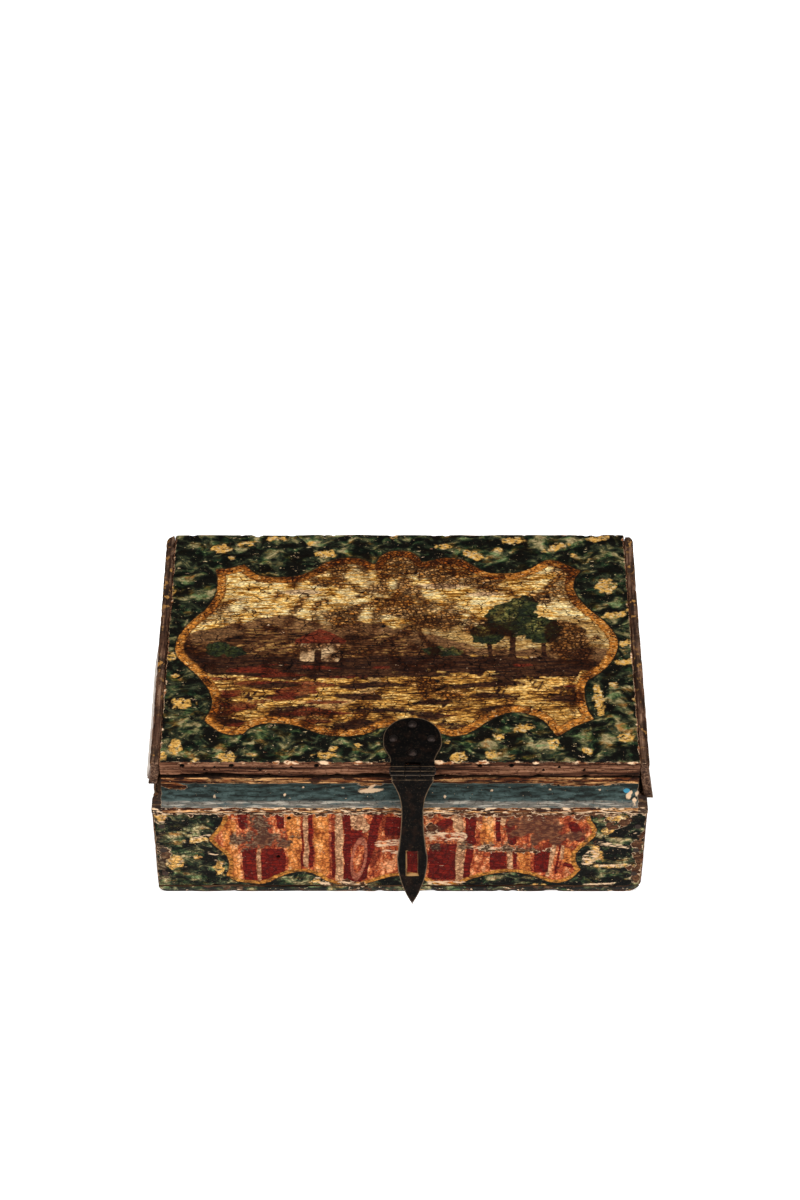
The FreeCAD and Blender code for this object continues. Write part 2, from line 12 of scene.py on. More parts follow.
import bpy
import numpy as np
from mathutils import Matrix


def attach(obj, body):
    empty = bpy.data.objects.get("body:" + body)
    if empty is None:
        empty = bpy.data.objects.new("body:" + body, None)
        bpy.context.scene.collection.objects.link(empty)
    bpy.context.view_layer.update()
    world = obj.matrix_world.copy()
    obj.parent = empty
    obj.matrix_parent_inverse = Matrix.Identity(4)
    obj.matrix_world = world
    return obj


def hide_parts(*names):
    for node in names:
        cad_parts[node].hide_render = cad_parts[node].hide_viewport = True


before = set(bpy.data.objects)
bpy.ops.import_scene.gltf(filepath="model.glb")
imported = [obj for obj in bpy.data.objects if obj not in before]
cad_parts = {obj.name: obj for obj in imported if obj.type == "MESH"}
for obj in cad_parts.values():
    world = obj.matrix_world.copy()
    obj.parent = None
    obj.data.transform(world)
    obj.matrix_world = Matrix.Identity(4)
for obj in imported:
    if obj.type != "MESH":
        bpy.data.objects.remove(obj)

LOG = logging.getLogger("painted_box")
MM = 0.001
FAR = -99.0  # stored in place of the distance to an outline, off the painted face
BARE = -3.0  # stored in place of the distance to the rim, where there is no paint
CREASE = 40.0  # edges sharper than this stay sharp, in degrees
GROOVES = (0.9, 1.75, 2.5)  # turns of the rolled hinge's grooves, in radians from the front
GROOVE_WIDTH = 0.07

Array = np.ndarray
Socket = bpy.types.NodeSocket
Material = bpy.types.Material
Fields = dict[str, Array]
Pair = tuple[float, float]
Triple = tuple[float, float, float]
Table = tuple[tuple[float, ...], ...]
Outline = tuple[tuple[Pair, ...], ...]
Surface = tuple[Array, Array]  # points, and faces as four point numbers each


class Side(Enum):
    """The two ends of the box, with the sign of their X."""

    LEFT = -1
    RIGHT = 1


# Arrays: noise, distances and outlines


def waves(points: Array, length: float, seed: int, count: int = 24) -> Array:
    """Smooth unevenness, mostly between -1 and 1.

    It is a sum of plane waves in random directions, each 0.7 to 1.4 times one length long, divided by the
    square root of twice their number.

    Args:
        points: places, one row each.
        length: length of a wave in mm.
        seed: picks the waves.
        count: number of waves.

    Returns:
        One number for each place.
    """
    rng = np.random.default_rng(seed)
    ways = rng.normal(size=(count, points.shape[1]))
    ways /= np.linalg.norm(ways, axis=1, keepdims=True)
    turns = ways / (length * rng.uniform(0.7, 1.4, (count, 1)))
    phase = rng.uniform(0.0, 2 * math.pi, count)
    return np.cos(2 * math.pi * (points @ turns.T) + phase).sum(axis=1) / math.sqrt(2 * count)


def smoothstep(low: float, high: float, value: Array) -> Array:
    """Rises from 0 at low to 1 at high as 3t^2 - 2t^3."""
    share = np.clip((value - low) / (high - low), 0.0, 1.0)
    return share * share * (3 - 2 * share)


def bell(value: Array, middle: float, width: float) -> Array:
    """Bell about a middle: e to the power of minus the squared distance in widths."""
    return np.exp(-(((value - middle) / width) ** 2))


def cover(distance: Array, soft: float = 2.0) -> Array:
    """Turns a distance above zero inside a shape into a share from 0 to 1, half at its edge."""
    return np.clip(0.5 + distance / (2 * soft), 0.0, 1.0)


def blob(x: Array, y: Array, centre: Pair, radii: Pair, turn: float = 0.0) -> Array:
    """Rough distance to an ellipse: (1 - distance in radii from its centre) times its small radius.

    Args:
        x, y: places across and up.
        centre: middle of the ellipse.
        radii: its two radii before it is turned.
        turn: its turn in degrees.

    Returns:
        The distance in mm, above zero inside.
    """
    cosine, sine = math.cos(math.radians(turn)), math.sin(math.radians(turn))
    dx, dy = x - centre[0], y - centre[1]
    along, across = dx * cosine + dy * sine, dy * cosine - dx * sine
    return (1 - np.hypot(along / radii[0], across / radii[1])) * min(radii)


def bar(x: Array, y: Array, start: Pair, stop: Pair, half: float) -> Array:
    """Distance to a round-ended bar: its half width less the distance to its middle line.

    Args:
        x, y: places across and up.
        start: one end of the middle line.
        stop: its other end.
        half: half the bar's width.

    Returns:
        The distance in mm, above zero inside.
    """
    sx, sy = stop[0] - start[0], stop[1] - start[1]
    share = np.clip(((x - start[0]) * sx + (y - start[1]) * sy) / (sx * sx + sy * sy), 0.0, 1.0)
    return half - np.hypot(x - start[0] - share * sx, y - start[1] - share * sy)


def panel(x: Array, y: Array, low: Pair, high: Pair) -> Array:
    """Distance to an upright rectangle: the least of the distances to its four sides."""
    return np.minimum(np.minimum(x - low[0], high[0] - x), np.minimum(y - low[1], high[1] - y))


def bars(x: Array, y: Array, table: Table) -> list[Array]:
    """Distances to bars, each given as its two ends and half its width."""
    return [bar(x, y, row[:2], row[2:4], row[4]) for row in table]


def blobs(x: Array, y: Array, table: Table) -> list[Array]:
    """Distances to ellipses, each given as its centre, its two radii and, if it is turned, its degrees."""
    return [blob(x, y, row[:2], row[2:4], *row[4:]) for row in table]


def most(distances: list[Array]) -> Array:
    """Distance to several shapes taken as one: the largest of their distances."""
    return np.max(np.stack(distances), axis=0)


def smooth_run(run: tuple[Pair, ...], parts: int = 6) -> Array:
    """Smooth line through some points: a Catmull-Rom spline, a cubic for each step between two points.

    Args:
        run: points in order.
        parts: pieces that each step is cut into.

    Returns:
        Points along the line, without the last.
    """
    knots = np.array(run, float)
    knots = np.vstack([2 * knots[0] - knots[1], knots, 2 * knots[-1] - knots[-2]])
    before, here, after, beyond = (knots[k : len(knots) - 3 + k, None, :] for k in range(4))
    t = (np.arange(parts) / parts)[None, :, None]
    curve = 2 * here + (after - before) * t + (2 * before - 5 * here + 4 * after - beyond) * t**2
    curve = (curve + (3 * here - before - 3 * after + beyond) * t**3) / 2
    return curve.reshape(-1, 2)


def outline_distance(x: Array, y: Array, runs: Outline) -> Array:
    """Distance to a closed outline, above zero inside.

    The distance is the least one to its straight pieces. A place is inside where a ray to its right crosses
    the outline an odd number of times.

    Args:
        x, y: places across and up.
        runs: smooth runs that meet at sharp points, each starting where the one before it ends.

    Returns:
        The distance in mm.
    """
    corners = np.vstack([smooth_run(run) for run in runs])
    nearest = np.full(x.shape, np.inf)
    inside = np.zeros(x.shape, bool)
    for (ax, ay), (bx, by) in zip(corners, np.roll(corners, -1, axis=0)):
        nearest = np.minimum(nearest, -bar(x, y, (ax, ay), (bx, by), 0.0))
        level = by - ay if by != ay else 1.0
        inside ^= ((ay > y) != (by > y)) & (x < (bx - ax) * (y - ay) / level + ax)
    return np.where(inside, nearest, -nearest)


# Meshes: closed boards, plates with openings and turned barrels


def ticks(low: float, high: float, spacing: float, edge: float, extra: tuple[float, ...] = ()) -> Array:
    """Places of the grid lines along one side of a board.

    They are close together over a rounded edge at both ends and even between, with extra lines added.

    Args:
        low: start of the side.
        high: end of the side.
        spacing: usual distance in mm.
        edge: width of the rounded edge.
        extra: places that get a line of their own.

    Returns:
        The places, from low to high.
    """
    rim = edge * np.array([0.0, 0.25, 0.5, 0.75])
    count = max(2, round((high - low - 2 * edge) / spacing) + 1)
    middle = np.linspace(low + edge, high - edge, count)
    wanted = np.unique(np.round(np.array(extra, float), 3))
    if len(wanted):
        middle = middle[np.abs(middle[:, None] - wanted[None, :]).min(axis=1) > 0.35 * spacing]
    return np.unique(np.concatenate([low + rim, middle, wanted, high - rim]))


def shell(xs: Array, ys: Array, zs: Array) -> Surface:
    """Surface of a block of cells, closed, with its faces pointing outwards.

    A grid point belongs to it where one of its three numbers is the first or the last.

    Args:
        xs: grid lines along X.
        ys: grid lines along Y.
        zs: grid lines along Z.

    Returns:
        The closed surface.
    """
    shape = (len(xs), len(ys), len(zs))
    steps = np.indices(shape)
    last = np.array(shape).reshape(3, 1, 1, 1) - 1
    outside = ((steps == 0) | (steps == last)).any(axis=0)
    number = np.full(shape, -1)
    number[outside] = np.arange(outside.sum())
    points = np.stack([xs[steps[0]], ys[steps[1]], zs[steps[2]]], axis=-1)[outside]
    faces = []
    for axis in range(3):
        for end in (0, -1):
            sheet = number.take(end, axis=axis)
            loop = np.stack([sheet[:-1, :-1], sheet[1:, :-1], sheet[1:, 1:], sheet[:-1, 1:]], axis=-1)
            loop = loop.reshape(-1, 4)
            faces.append(loop[:, ::-1] if (end == 0) == (axis != 1) else loop)
    return points, np.concatenate(faces)


def rounded(flat: Array, low: Array, high: Array, radius: Array) -> tuple[Array, Array]:
    """Rounds a block's edges and corners.

    Each point is taken to the nearest point of the block shrunk by the radius, and from there it goes a
    radius along the same line.

    Args:
        flat: points on the block's surface.
        low: the block's least corner.
        high: the block's greatest corner.
        radius: radius at each point.

    Returns:
        The moved points and their outward directions.
    """
    reach = np.minimum(radius, 0.49 * (high - low).min())[:, None]
    inner = np.clip(flat, low + reach, high - reach)
    away = flat - inner
    away /= np.maximum(np.linalg.norm(away, axis=1, keepdims=True), 1e-9)
    return inner + away * reach, away


def edge_distance(flat: Array, low: Array, high: Array) -> Array:
    """Distance along the surface of a block to its nearest edge: the second least distance to its sides."""
    return np.sort(np.minimum(flat - low, high - flat), axis=1)[:, 1]


def soften_corner(
    points: Array, axes: tuple[int, int], corner: Pair, inward: tuple[int, int], reach: Array | float
) -> Array:
    """Rounds a long edge seen end on, by pulling the square at the corner into a quarter disc.

    In the square, a point is scaled about the square's inner corner by its larger distance over its straight
    distance.

    Args:
        points: points to move.
        axes: numbers of the two axes across the edge.
        corner: place of the sharp corner.
        inward: signs of the way into the board.
        reach: side of the square, or one for each point.

    Returns:
        Moved points.
    """
    moved = points.copy()
    reach = np.broadcast_to(np.asarray(reach, float), len(points))
    first = (corner[0] + inward[0] * reach - points[:, axes[0]]) * inward[0]
    second = (corner[1] + inward[1] * reach - points[:, axes[1]]) * inward[1]
    near = (first > 0) & (second > 0)
    scale = np.maximum(first, second) / np.maximum(np.hypot(first, second), 1e-9)
    moved[near, axes[0]] += (inward[0] * first * (1 - scale))[near]
    moved[near, axes[1]] += (inward[1] * second * (1 - scale))[near]
    return moved


def sheet_piece(front: Array, back: Array, kept: Array) -> Surface:
    """Closed plate from two grids of points, with openings where cells are left out.

    Each kept cell gives a front and a back face, and each side where a kept cell meets none gives a wall.

    Args:
        front: grid of points, rows by columns by three, its faces pointing along row cross column.
        back: the same grid on the other side.
        kept: one truth value for each cell.

    Returns:
        The closed surface.
    """
    rows, columns = front.shape[:2]
    number = np.arange(rows * columns).reshape(rows, columns)
    points = np.concatenate([front.reshape(-1, 3), back.reshape(-1, 3)])
    shift = rows * columns
    loop = np.stack([number[:-1, :-1], number[1:, :-1], number[1:, 1:], number[:-1, 1:]], axis=-1)[kept]
    faces = [loop, loop[:, ::-1] + shift]
    padded = np.pad(kept, 1)
    inner = padded[1:-1, 1:-1]
    sides = (
        (padded[:-2, 1:-1], number[:-1, 1:], number[:-1, :-1]),
        (padded[2:, 1:-1], number[1:, :-1], number[1:, 1:]),
        (padded[1:-1, :-2], number[:-1, :-1], number[1:, :-1]),
        (padded[1:-1, 2:], number[1:, 1:], number[:-1, 1:]),
    )
    for beside, start, stop in sides:
        open_side = inner & ~beside
        a, b = start[open_side], stop[open_side]
        faces.append(np.stack([b, a, a + shift, b + shift], axis=-1))
    faces = np.concatenate(faces)
    used = np.unique(faces)
    renumber = np.zeros(len(points), int)
    renumber[used] = np.arange(len(used))
    return points[used], renumber[faces]


def barrel(centre: Array, starts: Pair, radii: Pair, grooves: float) -> Surface:
    """Short tube along X, rolled from a strip: a rectangle of wall carried round the axis.

    The outer radius drops in three narrow grooves, where the layers of the roll end.

    Args:
        centre: a point on the axis.
        starts: the two ends along X.
        radii: inner and outer radius.
        grooves: depth of the grooves.

    Returns:
        The closed surface.
    """
    around = np.linspace(0, 2 * math.pi, 97)[:-1]
    bevel = 0.35
    along = np.array([starts[0], starts[0], starts[0] + bevel, starts[1] - bevel, starts[1], starts[1]])
    radius = np.array([radii[0], radii[1] - bevel, radii[1], radii[1], radii[1] - bevel, radii[0]])
    outer = radius == radii[1]
    off = (around[:, None] - np.array(GROOVES) + math.pi) % (2 * math.pi) - math.pi
    dent = bell(off, 0.0, GROOVE_WIDTH).sum(axis=1)
    rings = radius[:, None] - np.where(outer[:, None], grooves * dent[None, :], 0.0)
    points = np.stack(
        [
            np.broadcast_to(along[:, None], rings.shape),
            centre[1] - rings * np.cos(around),
            centre[2] + rings * np.sin(around),
        ],
        axis=-1,
    )
    number = np.arange(rings.size).reshape(rings.shape)
    side, turn = np.roll(number, -1, axis=0), np.roll(number, -1, axis=1)
    loop = np.stack([number, turn, np.roll(side, -1, axis=1), side], axis=-1).reshape(-1, 4)
    return points.reshape(-1, 3), loop


def joined(*parts: Surface) -> Surface:
    """Puts several surfaces into one, renumbering their faces.

    Args:
        parts: the surfaces.

    Returns:
        All of them, in order.
    """
    starts = np.cumsum([0] + [len(points) for points, _ in parts[:-1]])
    faces = [faces + start for (_, faces), start in zip(parts, starts)]
    return np.concatenate([points for points, _ in parts]), np.concatenate(faces)


def add_piece(
    name: str, points: Array, faces: Array, fields: Fields, material: Material, crease: float = CREASE
) -> bpy.types.Object:
    """Puts points in mm and faces into a new object at the origin, in metres.

    Args:
        name: the object's name.
        points: points in mm.
        faces: four point numbers for each face.
        fields: numbers for each point, by attribute name.
        material: its finish.
        crease: edges sharper than this, in degrees, stay sharp.

    Returns:
        The object, linked to the scene.
    """
    mesh = bpy.data.meshes.new(name)
    mesh.vertices.add(len(points))
    mesh.vertices.foreach_set("co", (points * MM).astype(np.float32).ravel())
    mesh.loops.add(faces.size)
    mesh.loops.foreach_set("vertex_index", faces.astype(np.int32).ravel())
    mesh.polygons.add(len(faces))
    mesh.polygons.foreach_set("loop_start", np.arange(0, faces.size, 4, dtype=np.int32))
    mesh.polygons.foreach_set("use_smooth", np.ones(len(faces), bool))
    mesh.update(calc_edges=True)
    mesh.validate()
    mesh.set_sharp_from_angle(angle=math.radians(crease))
    for key, values in fields.items():
        mesh.attributes.new(key, "FLOAT", "POINT").data.foreach_set("value", values.astype(np.float32))
    mesh.materials.append(material)
    thing = bpy.data.objects.new(name, mesh)
    bpy.context.scene.collection.objects.link(thing)
    return thing


def place_piece(thing: bpy.types.Object, body: str, slot: str, *nodes: str) -> None:
    """Lets a piece ride on a body in place of some nodes.

    Args:
        thing: the piece.
        body: name of the body.
        slot: the record's finish for it; not used.
        nodes: the nodes that it stands for.
    """
    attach(thing, body)
    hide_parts(*nodes)
    LOG.info("%s: %d faces, rides on %s", thing.name, len(thing.data.polygons), body)


def bevel_edges(thing: bpy.types.Object, width: float) -> None:
    """Rounds the sharp edges of a piece.

    Args:
        thing: the piece.
        width: width of the rounding in mm.
    """
    modifier = thing.modifiers.new("worn_edges", "BEVEL")
    modifier.width = width * MM
    modifier.segments = 2
    modifier.limit_method = "ANGLE"
    modifier.angle_limit = math.radians(CREASE)
    modifier.harden_normals = True


# Materials: one way to add nodes, then patterns that several finishes share


def linear(colour: str) -> tuple[float, float, float, float]:
    """Turns a colour linear by the sRGB curve.

    Args:
        colour: hex sRGB colour.

    Returns:
        Linear red, green, blue and alpha.
    """
    parts = np.array([int(colour[k : k + 2], 16) for k in (1, 3, 5)]) / 255
    parts = np.where(parts <= 0.04045, parts / 12.92, ((parts + 0.055) / 1.055) ** 2.4)
    return (*parts.tolist(), 1.0)


class Graph:
    """A material's node tree, with places in mm and the one way to add a node."""

    def __init__(self, name: str) -> None:
        """Starts an empty material.

        Args:
            name: the material's name.
        """
        self.material = bpy.data.materials.new(name)
        self.material.use_nodes = True
        self.tree = self.material.node_tree
        self.tree.nodes.clear()
        coordinates = self.add("TexCoord", out="Object")
        self.place = self.add("VectorMath", {0: coordinates, "Scale": 1 / MM}, operation="SCALE")

    def add(
        self,
        kind: str,
        inputs: dict[int | str, object] | None = None,
        out: int | str = 0,
        stops: tuple[tuple[float, str], ...] = (),
        **settings: object,
    ) -> Socket:
        """Adds a node.

        Args:
            kind: end of the node's type name.
            inputs: a socket to link, a number, a vector or a hex colour for each named input.
            out: the output to return.
            stops: places and colours of a ramp.
            settings: the node's own settings.

        Returns:
            One of its outputs.
        """
        node = self.tree.nodes.new(f"ShaderNode{kind}")
        for name, value in settings.items():
            setattr(node, name, value)
        for key, value in (inputs or {}).items():
            if isinstance(value, Socket):
                self.tree.links.new(value, node.inputs[key])
            else:
                node.inputs[key].default_value = linear(value) if isinstance(value, str) else value
        for number, (place, colour) in enumerate(stops):
            ramp = node.color_ramp.elements
            element = ramp[number] if number < 2 else ramp.new(place)
            element.position = place
            element.color = linear(colour)
        return node.outputs[out]

    def finish(self, colour: Socket, roughness: Socket | float, height: Socket, **sockets: float) -> Material:
        """Joins the parts of a finish to a shader.

        Args:
            colour: base colour.
            roughness: roughness from 0 to 1.
            height: height in mm.
            sockets: constants for other inputs, with _ for each space in a name.

        Returns:
            The finished material.
        """
        normal = self.add("Bump", {"Height": height, "Distance": MM, "Strength": 1.0})
        inputs = {"Base Color": colour, "Roughness": roughness, "Normal": normal}
        inputs.update({name.replace("_", " "): value for name, value in sockets.items()})
        shader = self.add("BsdfPrincipled", inputs)
        output = self.tree.nodes.new("ShaderNodeOutputMaterial")
        self.tree.links.new(shader, output.inputs["Surface"])
        return self.material


def scaled(lengths: Triple, factor: float) -> Triple:
    """Lengths times a factor."""
    return tuple(length * factor for length in lengths)


def stretched(g: Graph, lengths: Triple, shift: Triple) -> Socket:
    """Places counted in lengths in mm along each axis, then shifted."""
    scale = tuple(1 / length for length in lengths)
    return g.add("VectorMath", {0: g.place, 1: scale, 2: shift}, operation="MULTIPLY_ADD")


def bent(g: Graph, spot: Socket, scale: float, detail: float, reach: float) -> Socket:
    """Places pushed about by noise of some scale and detail, by up to a reach."""
    push = g.add("TexNoise", {"Vector": spot, "Scale": scale, "Detail": detail}, out=1)
    return g.add("VectorMath", {0: push, 1: (reach, reach, reach), 2: spot}, operation="MULTIPLY_ADD")


def figure(g: Graph, lengths: Triple, detail: float = 3.0, seed: float = 0.0) -> Socket:
    """Noise between 0 and 1 whose features have a length in mm along each axis."""
    spot = stretched(g, lengths, (seed * 3.1, seed * 7.7, seed * 5.3))
    return g.add("TexNoise", {"Vector": spot, "Scale": 1.0, "Detail": detail, "Roughness": 0.6})


def above(g: Graph, value: Socket, low: float, high: float, most_of: float = 1.0) -> Socket:
    """Share that rises smoothly from 0 to a most as a value goes from low to high."""
    inputs = {"Value": value, "From Min": low, "From Max": high, "To Max": most_of}
    return g.add("MapRange", inputs, interpolation_type="SMOOTHSTEP")


def patches(g: Graph, lengths: Triple, low: float, high: float, seed: float, most_of: float = 1.0) -> Socket:
    """Irregular patches: noise of some size in mm, faded in between two levels."""
    return above(g, figure(g, lengths, 4.0, seed), low, high, most_of)


def shaped(g: Graph, name: str, level: float, soft: float, wobble: float = 0.0, size: float = 4.0) -> Socket:
    """Share that is 1 where a stored field is above a level, with an edge that noise pushes about.

    Args:
        g: the graph.
        name: the field's attribute.
        level: value at the edge.
        soft: half the width of the fade, in the field's unit.
        wobble: how far the noise moves the edge, in the field's unit.
        size: size of the noise in mm.

    Returns:
        The share.
    """
    value = g.add("Attribute", out="Fac", attribute_name=name)
    noise = figure(g, (size, size, size), 4.0, level + size)
    pushed = g.add("Math", {0: noise, 1: 2 * wobble, 2: value}, operation="MULTIPLY_ADD")
    return above(g, pushed, level + wobble - soft, level + wobble + soft)


def both(g: Graph, first: Socket | float, second: Socket | float) -> Socket:
    """Share where two shares hold: their product."""
    return g.add("Math", {0: first, 1: second}, operation="MULTIPLY")


def rest_of(g: Graph, share: Socket) -> Socket:
    """Share that another one leaves: one less it."""
    return g.add("Math", {0: 1.0, 1: share}, operation="SUBTRACT")


def blended(g: Graph, first: Socket, second: Socket, weight: float) -> Socket:
    """Mean of two values, the first with a weight and the second with the rest of one."""
    return g.add("Math", {0: first, 1: weight, 2: both(g, second, 1 - weight)}, operation="MULTIPLY_ADD")


def layered(g: Graph, base: Socket | str, *coats: tuple[Socket | float, Socket | str]) -> Socket:
    """Lays coats of colour over a base.

    Args:
        g: the graph.
        base: colour below.
        coats: share and colour of each coat, from below.

    Returns:
        The colour on top.
    """
    for share, colour in coats:
        base = g.add("Mix", {0: share, 6: base, 7: colour}, out=2, data_type="RGBA")
    return base


def heights(g: Graph, *terms: tuple[Socket, float]) -> Socket:
    """Adds up heights: each share times its depth.

    Args:
        g: the graph.
        terms: share and depth in mm of each.

    Returns:
        The height in mm.
    """
    total: Socket | float = 0.0
    for share, depth in terms:
        total = g.add("Math", {0: share, 1: depth, 2: total}, operation="MULTIPLY_ADD")
    return total


def crackle(g: Graph, cell: Triple, width: float, seed: float) -> tuple[Socket, Socket]:
    """Craquelure: cracks between irregular cells, each with a tone of its own.

    The real cracks are about 0.1 mm wide, too fine to show, so they are drawn several times wider.

    Args:
        g: the graph.
        cell: size of a cell in mm along each axis.
        width: width of a crack as a share of a cell.
        seed: moves the pattern.

    Returns:
        A share that is 1 in the cracks, and a random number from 0 to 1 for each cell.
    """
    spot = bent(g, stretched(g, cell, (seed, seed, seed)), 0.9, 2.0, 0.9)
    edge = g.add("TexVoronoi", {"Vector": spot, "Scale": 1.0}, feature="DISTANCE_TO_EDGE")
    tone = g.add("SeparateXYZ", {0: g.add("TexVoronoi", {"Vector": spot, "Scale": 1.0}, out="Color")})
    return g.add("MapRange", {"Value": edge, "From Min": width, "From Max": 0.2 * width}), tone


def checks(g: Graph, lengths: Triple, width: float, seed: float) -> Socket:
    """Long drying checks: thin lines where stretched noise passes through its middle value.

    Args:
        g: the graph.
        lengths: size of the noise in mm along each axis.
        width: how far from its middle value the noise is at a line's edge.
        seed: moves the pattern.

    Returns:
        A share that is 1 in the lines.
    """
    value = figure(g, lengths, 2.0, seed)
    off = g.add("Math", {0: value, 1: 0.5}, operation="SUBTRACT")
    off = g.add("Math", {0: off}, operation="ABSOLUTE")
    return g.add("MapRange", {"Value": off, "From Min": width, "From Max": 0.3 * width})


def dots(g: Graph, spacing: Triple, radius: float, kept: float, seed: float) -> Socket:
    """Scattered ragged dabs: discs round random points, a share of them kept.

    Args:
        g: the graph.
        spacing: usual distance of the points in mm along each axis.
        radius: radius of a dab as a share of the spacing.
        kept: share of the points that get a dab.
        seed: moves the pattern.

    Returns:
        The share covered.
    """
    spot = bent(g, stretched(g, spacing, (seed, seed, seed)), 4.0, 3.0, 0.3)
    distance = g.add("TexVoronoi", {"Vector": spot, "Scale": 1.0})
    pick = g.add("SeparateXYZ", {0: distance.node.outputs["Color"]})
    near = g.add("MapRange", {"Value": distance, "From Min": radius, "From Max": 0.75 * radius})
    return both(g, near, above(g, pick, 1 - kept - 0.01, 1 - kept + 0.01))


def either(g: Graph, *shares: Socket) -> Socket:
    """Share where any of several shares holds.

    Args:
        g: the graph.
        shares: the shares.

    Returns:
        The largest of them.
    """
    largest = shares[0]
    for share in shares[1:]:
        largest = g.add("Math", {0: largest, 1: share}, operation="MAXIMUM")
    return largest


def worm_holes(g: Graph) -> Socket:
    """Share inside the stored worm holes."""
    return shaped(g, "hole", 0.5, 0.12)


def flaked(g: Graph, share: Socket) -> tuple[Socket, Socket]:
    """Splits a soft share of loss into bare wood and the pale rim of broken gesso around it."""
    bare = above(g, share, 0.5, 0.62)
    return bare, both(g, above(g, share, 0.3, 0.42), rest_of(g, bare))


def darkened(g: Graph, colour: Socket, share: Socket, shade: str) -> Socket:
    """Multiplies a colour by a shade, by a share."""
    return g.add("Mix", {0: share, 6: colour, 7: shade}, out=2, data_type="RGBA", blend_type="MULTIPLY")


def weathered(g: Graph, colour: Socket, amount: float, seed: float) -> Socket:
    """Dirt in the pores and tiny chips: dark specks about 1 mm across and a few pale ones.

    Args:
        g: the graph.
        colour: colour below.
        amount: how dark the specks are, from 0 to 1.
        seed: moves the pattern.

    Returns:
        The specked colour.
    """
    pores = patches(g, (2.6, 1.7, 1.7), 0.54, 0.62, seed, amount)
    chips = patches(g, (2.2, 1.4, 1.4), 0.69, 0.73, seed + 1.0, 0.7)
    return layered(g, darkened(g, colour, pores, "#6E5848"), (chips, GESSO))


@dataclass(frozen=True)
class AgedWood:
    """Bare softwood board, planed by hand: brown with dark grain along the board, rubbed paler, dull.

    Wood has an index of refraction near 1.5, and a bare old surface is rough, 0.7 to 0.8.
    """

    name: str
    dark: str
    middle: str
    pale: str
    grain: Triple = (70.0, 2.6, 2.6)
    roughness: float = 0.74
    # colour of bleached streaks, and on the left cheek of a painted highlight
    pale_streaks_and_glare: str = "#D2AE88"

    def coat(self, g: Graph) -> tuple[Socket, Socket]:
        """Adds the bare surface.

        Args:
            g: the graph.

        Returns:
            Its colour and its height, as a share.
        """
        fine = figure(g, scaled(self.grain, 0.35), 3.0, 2.0)
        wide = figure(g, self.grain, 4.0, 1.0)
        mix = blended(g, fine, wide, 0.45)
        stops = ((0.41, self.dark), (0.5, self.middle), (0.6, self.pale))
        colour = g.add("ValToRGB", {0: mix}, stops=stops)
        grime = patches(g, (26.0, 14.0, 14.0), 0.5, 0.72, 3.0, 0.6)
        rubbed = patches(g, (18.0, 8.0, 8.0), 0.6, 0.75, 4.0, 0.35)
        return layered(g, colour, (grime, self.dark), (rubbed, self.pale)), mix

    def material(self) -> Material:
        """Builds the finish with bleached streaks (a painted highlight on one cheek), soil and worm holes
        from its fields.

        Returns:
            The material.
        """
        g = Graph(self.name)
        colour, height = self.coat(g)
        hole = worm_holes(g)
        streak = figure(g, scaled(self.grain, 0.5), 4.0, 6.0)
        # the stored share of pale streaks, which on the left cheek also holds a painted highlight
        pale_share = g.add("Attribute", out="Fac", attribute_name="flake")
        pale = above(g, g.add("Math", {0: streak, 1: pale_share}, operation="ADD"), 0.88, 1.12, 0.8)
        colour = layered(g, weathered(g, colour, 0.6, 5.0), (pale, self.pale_streaks_and_glare))
        soiled = both(g, shaped(g, "grime", 0.5, 0.2, 0.3, 6.0), 0.85)
        remains = both(g, soiled, patches(g, (4.0, 5.0, 4.0), 0.55, 0.63, 7.0))
        colour = layered(g, colour, (soiled, "#170F0A"), (remains, "#A5763C"), (hole, HOLE_SHADE))
        height = heights(g, (height, 0.35), (pale, 0.15))
        return g.finish(colour, self.roughness, height, Specular_IOR_Level=0.1)


GESSO = "#DEBB96"
# painted shade: the inside of each worm hole is coloured near-black
HOLE_SHADE = "#0C0705"
BARE_EDGE = AgedWood("bare_worn_softwood", "#180903", "#4F2E1E", "#96694E")


